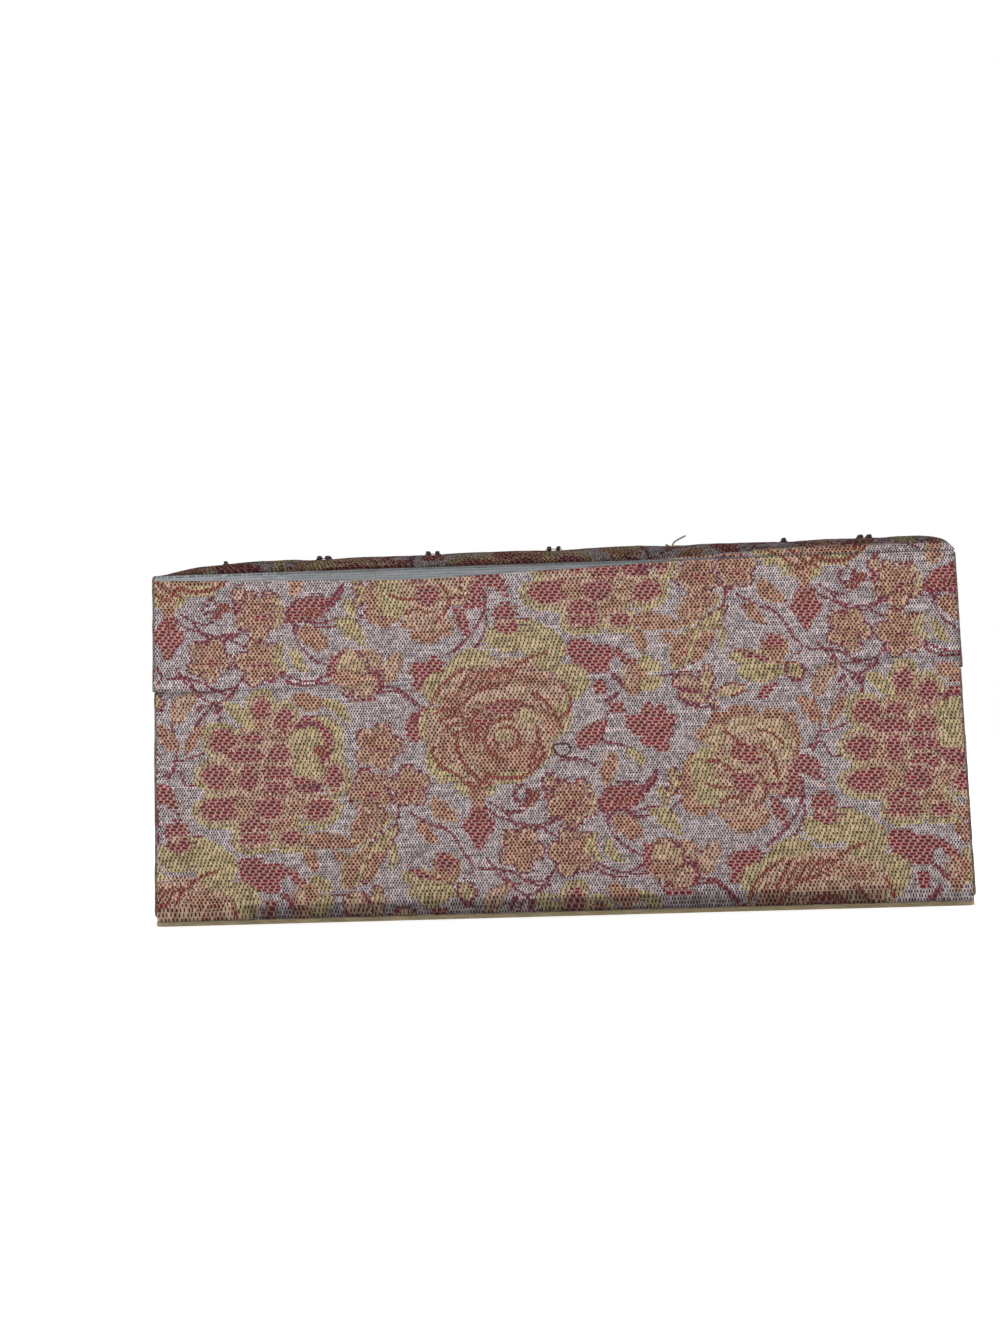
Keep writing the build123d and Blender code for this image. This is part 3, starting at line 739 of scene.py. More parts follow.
@dataclass(frozen=True)
class SilverRibbon:
    """The band at the lid's back edge. The eye sees level silver-grey threads, some brighter; its top, under the
    crown, is darkened by painted shade, and it grows lighter, with more bright ticks, towards its +X end.
    """

    name: str = "silver_lurex_ribbon_woven"
    dark: str = "#232424"
    light: str = "#94979a"
    thread_pitch: float = 0.7

    def make(self) -> Material:
        """Build the material.

        Returns:
            The material.
        """
        paint = Paint(self.name)
        add = paint.add
        cloth = add("UVMap", uv_map="cloth")
        across, down = (add("SeparateXYZ", {0: cloth}, axis) for axis in (0, 1))
        threads = (down * (math.tau / self.thread_pitch)).op("SINE") * 0.5 + 0.5
        streak, ticks = (
            add("TexNoise", {"Vector": add("Mapping", {0: cloth, 3: scale}), "Scale": 1.0, "Detail": detail})
            for scale, detail in (((0.12, 2.2, 1.0), 3.0), ((1.7, 0.9, 1.0), 1.0)))
        near_end = across.between(48.0, 8.0)
        # painted shade along the band's top, under the crown's edge
        lower = down.between(0.1, 1.3)
        share = (threads * 0.3 + streak.between(0.3, 0.7) * 0.3 + lower * 0.4) * (near_end * 0.4 + 0.85)
        share = share + ticks.between(0.5, 0.62) * (near_end * 0.8 + 0.12)
        return paint.finish({
            "Base Color": add("Mix", {0: share, 6: linear(self.dark), 7: linear(self.light)}, 2, data_type="RGBA"),
            "Metallic": 0.35,
            "Roughness": streak * 0.2 + 0.38,
            "Normal": add("Bump", {"Height": threads + ticks * 0.5, "Distance": 0.06 * MM, "Strength": 1.0}),
        })


@dataclass(frozen=True)
class Satin:
    """Satin. The eye sees a smooth cloth with fine slanting twill lines, softly streaked along its warp."""

    name: str
    light: str
    dark: str
    twill_pitch: float = 0.9
    contrast: float = 0.5

    def make(self) -> Material:
        """Build the material.

        Returns:
            The material.
        """
        paint = Paint(self.name)
        add = paint.add
        cloth = add("UVMap", uv_map="cloth")
        across, down = (add("SeparateXYZ", {0: cloth}, axis) for axis in (0, 1))
        twill = ((across + down * 1.6) * (math.tau / self.twill_pitch)).op("SINE") * 0.5 + 0.5
        warp = add("Mapping", {0: cloth, 3: (0.1, 1.4, 1.0)})
        streak = add("TexNoise", {"Vector": warp, "Scale": 1.0, "Detail": 3.0})
        cloud = add("TexNoise", {"Vector": cloth, "Scale": 0.04, "Detail": 2.0})
        share = twill * self.contrast + streak.between(0.3, 0.7) * 0.4 + cloud * 0.2
        return paint.finish({
            "Base Color": add("Mix", {0: share, 6: linear(self.dark), 7: linear(self.light)}, 2, data_type="RGBA"),
            "Roughness": streak * 0.15 + 0.34,
            "Anisotropic": 0.4,
            "Sheen Weight": 0.15,
            "Normal": add("Bump", {"Height": twill + streak, "Distance": 0.03 * MM, "Strength": 1.0}),
        })


@dataclass(frozen=True)
class Fibreboard:
    """Paper or board. The eye sees a flat, dull stock with small flecks and a cloudy tone."""

    name: str
    light: str
    dark: str
    fleck: str

    def make(self) -> Material:
        """Build the material.

        Returns:
            The material.
        """
        paint = Paint(self.name)
        add = paint.add
        place = add("TexCoord", output="Object")
        cloud = add("TexNoise", {"Vector": place, "Scale": 60.0, "Detail": 4.0})
        drawn_out = add("Mapping", {0: place, 3: (900.0, 260.0, 900.0)})
        fibre = add("TexNoise", {"Vector": drawn_out, "Scale": 1.0, "Detail": 2.0})
        flecks = add("TexNoise", {"Vector": place, "Scale": 1400.0, "Detail": 1.0}).between(0.66, 0.72)
        share = cloud.between(0.3, 0.7)
        base = add("Mix", {0: share, 6: linear(self.dark), 7: linear(self.light)}, 2, data_type="RGBA")
        return paint.finish({
            "Base Color": add("Mix", {0: flecks * 0.7, 6: base, 7: linear(self.fleck)}, 2, data_type="RGBA"),
            "Roughness": fibre * 0.1 + 0.82,
            "Normal": add("Bump", {"Height": fibre + cloud, "Distance": 0.05 * MM, "Strength": 1.0}),
        })


@dataclass(frozen=True)
class Speckled:
    """A plain material whose tone varies with one cloudy noise. Each maker below says what the eye sees.

    The noise has a scale and a detail, and its limits give the darker and the lighter colour. The bump is its depth
    in millimetres. The gloss is how much the noise adds to the roughness, and from what.
    """

    name: str
    dark: str
    light: str
    noise: Point
    limits: Point
    sockets: dict[str, float]
    bump: float | None = None
    gloss: Point | None = None

    def make(self) -> Material:
        """Build the material.

        Returns:
            The material.
        """
        paint = Paint(self.name)
        place = paint.add("TexCoord", output="Object")
        vary = paint.add("TexNoise", {"Vector": place, "Scale": self.noise[0], "Detail": self.noise[1]})
        colours = {0: vary.between(*self.limits), 6: linear(self.dark), 7: linear(self.light)}
        sockets = {**self.sockets, "Base Color": paint.add("Mix", colours, 2, data_type="RGBA")}
        if self.gloss is not None:
            sockets["Roughness"] = vary * self.gloss[0] + self.gloss[1]
        if self.bump is not None:
            relief = {"Height": vary, "Distance": self.bump * MM, "Strength": 1.0}
            sockets["Normal"] = paint.add("Bump", relief)
        return paint.finish(sockets)


# Cotton wadding: the eye sees matted off-white fibre.
WADDING = Speckled("cotton_wadding_carded", "#d8d2c4", "#f0ece2", (220.0, 5.0), (0.3, 0.7),
                   {"Roughness": 0.95, "Sheen Weight": 0.4}, bump=0.5)
# Seed beads: the eye sees dark garnet glass with a sharp small gloss.
SEED_GLASS = Speckled("garnet_glass_drawn", "#1d080b", "#47161a", (350.0, 1.0), (0.35, 0.65),
                      {"Transmission Weight": 0.1, "IOR": 1.5, "Specular IOR Level": 0.25}, gloss=(0.08, 0.1))
# Sewing threads: the eye sees two slanting plies, dark red in one and grey in the other.
RED_THREAD, GREY_THREAD = (
    Speckled(name, dark, light, (2600.0, 1.0), (0.35, 0.65), {"Roughness": 0.62, "Sheen Weight": 0.2}, bump=0.04)
    for name, dark, light in (
        ("burgundy_thread_spun", "#2e0c10", "#5c1c22"), ("grey_thread_spun", "#7d7069", "#b7aca4"))
)


def way_out(places: Array) -> Array:
    """The way out of a sheet at each of its places."""
    out = np.cross(np.gradient(places, axis=1), np.gradient(places, axis=0))
    return out / (np.linalg.norm(out, axis=2, keepdims=True) + 1e-12)


@dataclass
class ClothGrid:
    """A sheet or pad as a grid of places in millimetres: a fine outer face, a coarse inner face, and a rim.

    Rows run down the cloth and columns across it. The inner face has only the rows and columns at the stops.
    """

    name: str
    outer: Array
    cloth: Array
    thickness: float
    row_stops: list[int]
    column_stops: list[int]
    turned: bool = False
    inner: Array | None = None
    relief: Array | None = None

    def normals(self) -> Array:
        """The way out of the cloth at every place."""
        return -way_out(self.outer) if self.turned else way_out(self.outer)

    def at_stops(self, places: Array) -> Array:
        """The places that the inner face has."""
        return places[np.ix_(self.row_stops, self.column_stops)]

    def faces(self, outer: Array, inner: Array) -> list[list[int]]:
        """Join the places into faces.

        Args:
            outer: the numbers of the outer places.
            inner: the numbers of the inner places.

        Returns:
            Corner numbers of the outer quads, then the inner quads, then the rim.
        """
        quads = np.stack([outer[:-1, :-1], outer[:-1, 1:], outer[1:, 1:], outer[1:, :-1]], -1).reshape(-1, 4)
        backs = np.stack([inner[:-1, :-1], inner[1:, :-1], inner[1:, 1:], inner[:-1, 1:]], -1).reshape(-1, 4)
        rims = []
        for index, (start, end) in enumerate(zip(self.column_stops, self.column_stops[1:])):
            rims.append([*outer[0, start:end + 1][::-1], inner[0, index], inner[0, index + 1]])
            rims.append([*outer[-1, start:end + 1], inner[-1, index + 1], inner[-1, index]])
        for index, (start, end) in enumerate(zip(self.row_stops, self.row_stops[1:])):
            rims.append([*outer[start:end + 1, 0], inner[index + 1, 0], inner[index, 0]])
            rims.append([*outer[start:end + 1, -1][::-1], inner[index, -1], inner[index + 1, -1]])
        joined = [*quads.tolist(), *backs.tolist(), *[[int(corner) for corner in rim] for rim in rims]]
        return [face[::-1] for face in joined] if self.turned else joined

    def make(self, material: Material) -> Object:
        """Build the object.

        Args:
            material: what it is made of.

        Returns:
            The object, with its places on the cloth as a UV map.
        """
        out = self.normals()
        inner = self.at_stops(self.outer - out * self.thickness) if self.inner is None else self.inner
        outer = self.outer if self.relief is None else self.outer + out * self.relief[..., None]
        outer_numbers = np.arange(outer[..., 0].size).reshape(outer.shape[:2])
        inner_numbers = outer_numbers.size + np.arange(inner[..., 0].size).reshape(inner.shape[:2])
        mesh = bpy.data.meshes.new(self.name)
        places = np.vstack([outer.reshape(-1, 3), inner.reshape(-1, 3)])
        mesh.from_pydata(places * MM, [], self.faces(outer_numbers, inner_numbers))
        mesh.polygons.foreach_set("use_smooth", np.ones(len(mesh.polygons), bool))
        mesh.set_sharp_from_angle(angle=math.radians(50))
        on_cloth = np.vstack([self.cloth.reshape(-1, 2), self.at_stops(self.cloth).reshape(-1, 2)])
        corners = np.empty(len(mesh.loops), np.int32)
        mesh.loops.foreach_get("vertex_index", corners)
        mesh.uv_layers.new(name="cloth").data.foreach_set("uv", on_cloth[corners].astype(np.float32).ravel())
        return placed(self.name, mesh, material)


def placed(name: str, data: bpy.types.Mesh | bpy.types.Curve, material: Material) -> Object:
    """Put a new object in the scene.

    Args:
        name: its name.
        data: its mesh or curve.
        material: what it is made of.

    Returns:
        The object.
    """
    data.materials.append(material)
    made = bpy.data.objects.new(name, data)
    bpy.context.scene.collection.objects.link(made)
    return made


def middles(grid: Array) -> Array:
    """The middle of every quad of a grid of values."""
    return (grid[:-1, :-1] + grid[1:, :-1] + grid[:-1, 1:] + grid[1:, 1:]) / 4


def every(count: int, step: int, also: Iterable[int] = ()) -> list[int]:
    """Stops from 0 to the last of a count of places, with some others."""
    return sorted({*range(0, count, step), *(place for place in also if 0 <= place < count), count - 1})


def ripple(across: Array, down: Array) -> Array:
    """The faint unevenness of glued cloth.

    Args:
        across: places across it, in millimetres.
        down: places down it.

    Returns:
        Values from -1 to 1.
    """
    return (
        np.sin(across / 9.7 + 1.3 * np.sin(down / 13.0)) * 0.4
        + np.sin(down / 6.3 + across / 31.0 + 0.8) * 0.35
        + np.sin(across / 4.1 - down / 5.2) * 0.25
    )


def weave(
    grid: ClothGrid, paper: PointPaper, finish: Material, painted_light: Array | None = None,
) -> Object:
    """Build a brocade piece: its figures stand a little proud, and its faces know their yarns.

    Args:
        grid: the piece, with its places on the cloth.
        paper: the repeat that is woven.
        finish: the brocade.
        painted_light: the painted shade and highlight of each quad of the outer face, as how much darker or lighter it
            is.

    Returns:
        The object.
    """
    middle = middles(grid.cloth)
    threads = paper.threads_at(middle[..., 0], middle[..., 1])
    yarns = [YARNS[thread] for thread in Thread]
    grid.relief = np.zeros(grid.outer.shape[:2])
    grid.relief[1:-1, 1:-1] = middles(np.array([yarn.rise for yarn in yarns])[threads])
    made = grid.make(finish)
    mesh = made.data
    every_thread = np.zeros(len(mesh.polygons), int)
    every_thread[:threads.size] = threads.ravel()
    painted_light_per_face = np.ones(len(mesh.polygons), np.float32)
    if painted_light is not None:
        painted_light_per_face[:threads.size] = painted_light.ravel()
    for name, kind, slot, values in (
        ("top_yarn", "FLOAT_COLOR", "color", [linear(yarn.top) for yarn in yarns]),
        ("under_yarn", "FLOAT_COLOR", "color", [linear(yarn.under) for yarn in yarns]),
        ("float_shape", "FLOAT_VECTOR", "vector", [yarn.shape for yarn in yarns]),
        ("under_share", "FLOAT", "value", [yarn.under_share for yarn in yarns]),
        ("row_gap", "FLOAT", "value", [yarn.row_gap for yarn in yarns]),
    ):
        each = np.array(values, np.float32)[every_thread].ravel()
        mesh.attributes.new(name, kind, "FACE").data.foreach_set(slot, each)
    # painted shade and highlights, one value per face, which the brocade multiplies into its tone
    mesh.attributes.new("painted_light", "FLOAT", "FACE").data.foreach_set("value", painted_light_per_face)
    return made


@dataclass(frozen=True)
class Half:
    """The outline of the base or the lid, in millimetres. It runs from its closed side to its rim."""

    name: str
    width: float
    depth: float
    middle: float
    closed_side: float
    rim: float
    roll: float

    @property
    def towards_rim(self) -> float:
        """1 where the rim is above the closed side, and -1 where it is below."""
        return 1.0 if self.rim > self.closed_side else -1.0

    @property
    def tall(self) -> float:
        """How far the rim is from the closed side."""
        return abs(self.rim - self.closed_side)

    @property
    def straights(self) -> Point:
        """The straight lengths of a side and of the front, between the corners."""
        return self.depth - 2 * CORNER, self.width - 2 * CORNER

    @property
    def way_round(self) -> float:
        """The length of the whole outline that ring() follows."""
        return 2 * math.pi * CORNER + 2 * (self.depth - 2 * CORNER) + self.width - 2 * CORNER

    def ring(self, along: Array, inset: Array) -> tuple[Array, Array]:
        """Places on the outline, or on a copy of it that is set in.

        Args:
            along: distances round the outline from its back corner at +X, by that end, the front and the other end.
            inset: how far each place is set in.

        Returns:
            The places' X and Y.
        """
        side, front = self.straights
        radius = np.maximum(CORNER - inset, LEAST_RADIUS)
        half_x = self.width / 2 - inset - radius
        half_y = self.depth / 2 - inset - radius
        ends = np.cumsum([0, QUARTER, side, QUARTER, front, QUARTER, side, QUARTER])
        turns = [(1, 1, 90), None, (1, -1, 0), None, (-1, -1, -90), None, (-1, 1, 180)]
        x = np.zeros(np.broadcast(along, inset).shape)
        y = np.zeros_like(x)
        for index, turn in enumerate(turns):
            here = (along >= ends[index]) & (along <= ends[index + 1])
            share = (along - ends[index]) / (ends[index + 1] - ends[index])
            if turn is not None:
                angle = np.radians(turn[2] - 90 * share)
                place = (turn[0] * half_x + radius * np.cos(angle), turn[1] * half_y + radius * np.sin(angle))
            elif index == 3:
                place = (half_x * (1 - 2 * share), -(half_y + radius) + 0 * share)
            else:
                sign = 1 if index == 1 else -1
                place = (sign * (half_x + radius) + 0 * share, sign * half_y * (1 - 2 * share))
            x, y = np.where(here, place[0], x), np.where(here, place[1], y)
        return x, y + self.middle


# The box's sizes, as in its CAD source, in millimetres.
CLOTH = 0.45  # thickness of the brocade
SATIN = 0.3  # thickness of the satin
BOARD_FACE = 2.95  # from the outside in to the boards' room face
TURNED_FACE = 3.4  # from the outside in to the face of the cloth that is turned in over them
LINING_FACE = 5.2  # from the outside in to the linings' room face
CORNER = 2.0  # radius of the upright corners
QUARTER = CORNER * math.pi / 2  # way round one corner
TURN = 12.0  # how far the brocade is turned in
SATIN_TURN = 10.0  # how far the satin is turned in
OPENING = 1.2  # how far from the ends of the box the wrap cloth stops, on its back corners
HINGE_HEIGHT = 66.0  # height of the hinge line
WALL_TOP = 99.5  # height of the lid's top edge
BACK = 75.0  # Y of the back's outer face
BACK_ORIGIN = (115.5, 100.1)  # X and Z where the cloth's own places are counted from, the photograph's upper left
BASE = Half("base", 230.0, 150.0, 0.0, 2.0, 65.85, 1.6)
LID = Half("lid", 231.0, 150.5, -0.25, WALL_TOP, 66.15, 0.8)
LEAST_RADIUS = 0.15  # of a corner that is set in
TINY = 1e-6  # less than this is nothing


def arc(steps: int, start: float, end: float) -> tuple[Array, Array]:
    """Cosines and sines of angles from one to another, in degrees, without the first."""
    angles = np.radians(np.linspace(start, end, steps + 1)[1:])
    return np.cos(angles), np.sin(angles)


def run(start: float, end: float, pitch: float) -> Array:
    """Even steps from one value to another, no wider than the pitch."""
    return np.linspace(start, end, max(2, int(math.ceil(abs(end - start) / pitch)) + 1))


def lengths(first: Array, second: Array) -> Array:
    """How far along a profile each of its places lies."""
    return np.concatenate([[0], np.cumsum(np.hypot(np.diff(first), np.diff(second)))])


@dataclass
class HingeCloth:
    """The brocade of the back. It is one piece from under the base, up the back and over the hinge to the lid's
    silver band, and it bulges either side of the fold towards its ends.
    """

    paper: PointPaper
    finish: Material
    pitch: float = 0.6
    band_line: Line = ((-114.3, 99.4), (-70.0, 99.4), (-39.3, 99.0), (37.0, 96.1), (46.2, 96.1), (114.3, 98.0))
    fold: float = 34.1
    snag: Point = (76, 82.5)

    def top_line(self, x: Array) -> Array:
        """Where the cloth stops below the silver band."""
        xs, zs = zip(*self.band_line)
        return np.interp(x, xs, zs)

    def bulge(self, u: Array, v: Array) -> tuple[Array, Array]:
        """The relief that the photograph shows, with painted shade and highlights for how it is lit.

        Args:
            u: places across from the photograph's left.
            v: places down from the lid's top.

        Returns:
            How far the cloth stands off the boards, and a factor of painted shade and highlight on it.
        """
        left, right = np.exp(-u / 18), np.exp(-(LID.width - u) / 40)
        off = v - (self.fold - 3.6 * eased((u - 165) / 45) + 0.5 * left * np.sin(u / 5))
        puff = (1.3 * left + 0.6 * right + 0.1) * (hump(off + 2.6, 1.8) + 0.7 * hump(off - 2.7, 2.0))
        groove = -(0.1 + 0.12 * (left + right)) * hump(off, 0.55)
        from_snag = np.hypot(u - self.snag[0], (v - self.snag[1]) * 1.3)
        out = puff + groove + 0.35 * hump(from_snag, 2.4) + 0.1 * ripple(u, v)
        # painted shade in the fold's crease, and painted highlights on the bulges just above and below it
        shade = 1 - (0.12 + 0.6 * (left + 0.6 * right)) * hump(off - 0.3, 0.75)
        shade = shade + (0.55 * left + 0.25 * right + 0.1) * hump(off + 2.0, 0.8)
        shade = shade + 0.3 * left * hump(off - 2.6, 0.7)
        # painted shade along the bottom, where the cloth rolls under, and round the snag's pucker
        rolled = 0.2 + 0.42 * eased((u - 24) / 6) * eased((207 - u) / 6)
        shade = shade * (1 - rolled * eased((v - 93.9) / 1.4)) * (1 - 0.25 * hump(from_snag, 1.3))
        # painted shade at both side edges, and a painted shadow line at the very bottom edge
        shade = shade * (1 - 0.1 * eased((1.6 - u) / 1.6)) * (1 - 0.16 * eased((u - 229.2) / 1.2))
        return out, shade * (1 - 0.72 * eased((v - 96.6) / 0.6))

    def make(self) -> Object:
        """Build the cloth over both halves, in place of their back cloths.

        Returns:
            The cloth.
        """
        level, highest = 90.0, 99.0
        under = run(BACK - TURN, BACK - BASE.roll, 1.3)
        cosine, sine = arc(6, -90, 0)
        walls = np.concatenate([
            run(BASE.closed_side + BASE.roll, 65.1, self.pitch)[1:], [65.4, 65.65, 65.85, 66.0, 66.15, 66.35, 66.6],
            run(66.9, level, self.pitch), run(level, highest, self.pitch)[1:],
        ])
        rows_y = np.concatenate([under, BACK - BASE.roll + BASE.roll * cosine, np.full(walls.size, BACK)])
        rows_z = np.concatenate([
            np.full(under.size, BASE.closed_side), BASE.closed_side + BASE.roll + BASE.roll * sine, walls])
        steps = np.hypot(np.diff(rows_y), np.diff(rows_z))
        down = BACK_ORIGIN[1] - rows_z[-1] + np.concatenate([np.cumsum(steps[::-1])[::-1], [0]])
        columns = run(1.0, -1.0, self.pitch / 114)
        half = 113.75 + 0.5 * eased((rows_z[:, None] - HINGE_HEIGHT) / 3)
        x = half * columns[None, :]
        y, z, down = (np.repeat(line[:, None], columns.size, 1) for line in (rows_y, rows_z, down))
        top = self.top_line(x)
        z = np.where(z > level, level + (z - level) * (top - level) / (highest - level), z)
        v = np.where(z > BASE.closed_side + BASE.roll, BACK_ORIGIN[1] - z, down)
        u = BACK_ORIGIN[0] - x
        out, shade = self.bulge(u, v)
        edge = eased((114.0 - np.abs(x)) / 1.2) * eased((top - z) / 1.2) * eased((z - 3.0) / 2.5)
        z = z - 1.8 * eased((y - 74.4) / 0.5) * eased((6.5 - z) / 4.0)
        near_fold = eased((v - 24) / 6) * eased((46 - v) / 6)
        outer = np.stack([x, y + out * np.maximum(edge, 0.75 * near_fold), z], -1)
        at_hinge = int(np.searchsorted(walls, HINGE_HEIGHT)) + under.size + cosine.size
        bends = (*range(under.size - 1, under.size + 7), *range(at_hinge - 4, at_hinge + 5))
        grid = ClothGrid(
            "hinge_cloth", outer, np.stack([u, v], -1), CLOTH, every(rows_z.size, 12, bends), every(columns.size, 20))
        flat = np.stack([x, y, z], -1)
        thickness = CLOTH * (1 - 0.8 * eased((y - 73.8) / 0.4) * eased((5.0 - z) / 1.6))
        grid.inner = grid.at_stops(flat - way_out(flat) * thickness[..., None])
        made = weave(grid, self.paper, self.finish, middles(shade))
        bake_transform(made)
        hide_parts("base_back_cloth", "lid_back_cloth")
        return made


@dataclass
class SilverBand:
    """The silver band that fills the gap above the lid's back cloth, and turns in under the crown."""

    hinge_cloth: HingeCloth
    finish: Material

    def make(self) -> Object:
        """Build the band and fix it to the lid.

        Returns:
            The band.
        """
        columns = run(114.2, -114.2, 1.2)[None, :]
        low = self.hinge_cloth.top_line(columns) + 0.05
        rise = run(0, 1, 0.06)[:, None]
        tucked = run(0, TURN, 1.5)[1:, None]
        z = np.vstack([low + (WALL_TOP - low) * rise, np.full((tucked.size, columns.size), WALL_TOP)])
        y = np.vstack([np.full((rise.size, columns.size), BACK), BACK - tucked + 0 * columns])
        x = np.repeat(columns, z.shape[0], 0)
        v = np.vstack([WALL_TOP - z[:rise.size], -tucked + 0 * columns])
        slack = np.zeros_like(z)
        slack[1:rise.size - 1] = 0.06 * ripple(x * 2.1, v * 2.0)[1:rise.size - 1]
        grid = ClothGrid(
            "silver_band", np.stack([x, y + slack, z], -1), np.stack([BACK_ORIGIN[0] - x, v], -1), CLOTH,
            every(z.shape[0], 40, (rise.size - 1,)), every(columns.size, 6),
        )
        inner_z = np.where(z > WALL_TOP - 0.01, WALL_TOP - CLOTH, z)
        grid.inner = grid.at_stops(np.stack([x, np.minimum(y, BACK - CLOTH), inner_z], -1))
        made = grid.make(self.finish)
        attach(made, "lid")
        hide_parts("lid_edge_band")
        return made


@dataclass
class WrapCloth:
    """The brocade round the front and both ends of one half. It turns in at the rim and under the closed side."""

    half: Half
    paper: PointPaper
    finish: Material
    pitch: float = 0.8

    def profile(self) -> tuple[Array, Array, Array]:
        """The cloth's way from its hidden turn under the closed side, up the wall and over the rim.

        Returns:
            Insets, heights from the closed side, and whether each place is on the rim side of the wall.
        """
        tall, roll, fold = self.half.tall, self.half.roll, 0.35
        under = run(TURN, roll, 1.4)
        wall = run(roll, tall - fold, self.pitch)[1:]
        over = run(fold, TURNED_FACE - fold, 0.7)[1:]
        inside = run(tall - fold, tall - TURN, 1.2)[1:]
        cosine, sine = arc(5, 0, 90)
        rim_cosine, rim_sine = arc(3, 0, 90)
        insets = np.concatenate([
            under, roll - roll * sine, np.zeros(wall.size), fold - fold * rim_cosine, over,
            TURNED_FACE - fold + fold * rim_sine, np.full(inside.size, TURNED_FACE),
        ])
        heights = np.concatenate([
            np.zeros(under.size), roll - roll * cosine, wall, tall - fold + fold * rim_sine,
            np.full(over.size, tall), tall - fold + fold * rim_cosine, inside,
        ])
        return insets, heights, np.arange(insets.size) >= under.size + cosine.size + wall.size

    def column_stops(self, along: Array) -> list[int]:
        """Choose the columns of the inner face.

        Args:
            along: how far round each column is.

        Returns:
            Every 20th column, and all of those in the corners.
        """
        side, front = self.half.straights
        corners = [0, QUARTER + side, 2 * QUARTER + side + front, 3 * QUARTER + 2 * side + front]
        return every(along.size, 20, [
            index for index, place in enumerate(along)
            if any(corner - 1 < place < corner + QUARTER + 1 for corner in corners)
        ])

    def make(self) -> Object:
        """Build the cloth and fix it to its half.

        Returns:
            The cloth.
        """
        half = self.half
        insets, heights, rim_side = self.profile()
        start = CORNER * math.asin((CORNER - OPENING) / CORNER)
        along = run(start, half.way_round - start, self.pitch)
        limits = np.where(rim_side, half.depth / 2 - TURNED_FACE - 0.05, half.depth / 2 - TURN - 0.1)
        reach = half.depth / 2 - insets - np.maximum(CORNER - insets, LEAST_RADIUS)
        trimmed = QUARTER + np.maximum(0.05, (half.depth / 2 - CORNER) * (1 - limits / reach))
        begins = np.where(insets < OPENING, start, trimmed)[:, None]
        count = np.arange(along.size)[None, :]
        places = np.maximum(along[None, :], begins + 0.01 * count)
        places = np.minimum(places, half.way_round - begins - 0.01 * count[:, ::-1])
        x, y = half.ring(places, insets[:, None])
        z = half.closed_side + half.towards_rim * heights[:, None] + 0 * x
        steps = np.hypot(np.diff(insets), np.diff(heights))
        travelled = np.concatenate([[0], np.cumsum(steps)])
        level = half.closed_side + half.towards_rim * (travelled - travelled[np.argmax(insets < TINY)] + half.roll)
        u, v = -places, BACK_ORIGIN[1] - level[:, None] + 0 * x
        slack = (insets < TINY)[:, None] * eased((heights[:, None] - 2.5) / 3) * eased(
            (half.tall - 1 - heights[:, None]) / 3)
        slack = slack * eased((places - 4) / 5) * eased((half.way_round - 4 - places) / 5)
        outer = np.stack([x, y, z], -1)
        bends = (*np.nonzero(np.abs(np.diff(insets)) > TINY)[0], *np.nonzero(rim_side)[0][:14])
        grid = ClothGrid(
            f"{half.name}_wrap", outer, np.stack([u, v], -1), CLOTH, every(heights.size, 16, bends),
            self.column_stops(along), turned=half.towards_rim > 0,
        )
        grid.inner = grid.at_stops(outer - grid.normals() * CLOTH * 0.98)
        grid.outer = outer + grid.normals() * (0.11 * slack * (ripple(u, v) + 0.4))[..., None]
        from_back = np.minimum(places, half.way_round - places)
        shade = (1 - 0.14 * eased((v - 94) / 3)) * (1 - 0.62 * eased((QUARTER + 0.8 - from_back) / 0.8))
        made = weave(grid, self.paper, self.finish, middles(shade))
        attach(made, half.name)
        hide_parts(f"{half.name}_wrap_cloth")
        return made


def rounded(
    x: Array, y: Array, centre_x: Array | float, centre_y: Array | float,
    where: Array | bool = True,
) -> tuple[Array, Array]:
    """Draw the square corners of a grid in to round ones.

    Args:
        x: the grid's places along X.
        y: its places along Y.
        centre_x: how far along X the middles of the round corners are from the grid's middle.
        centre_y: the same along Y.
        where: which places may move.

    Returns:
        The new places along X and Y.
    """
    over_x, over_y = np.abs(x) - centre_x, np.abs(y) - centre_y
    both = (over_x > 0) & (over_y > 0) & where
    pull = np.maximum(over_x, over_y) / (np.hypot(over_x, over_y) + 1e-9)
    x = np.where(both, np.sign(x) * (centre_x + over_x * pull), x)
    return x, np.where(both, np.sign(y) * (centre_y + over_y * pull), y)


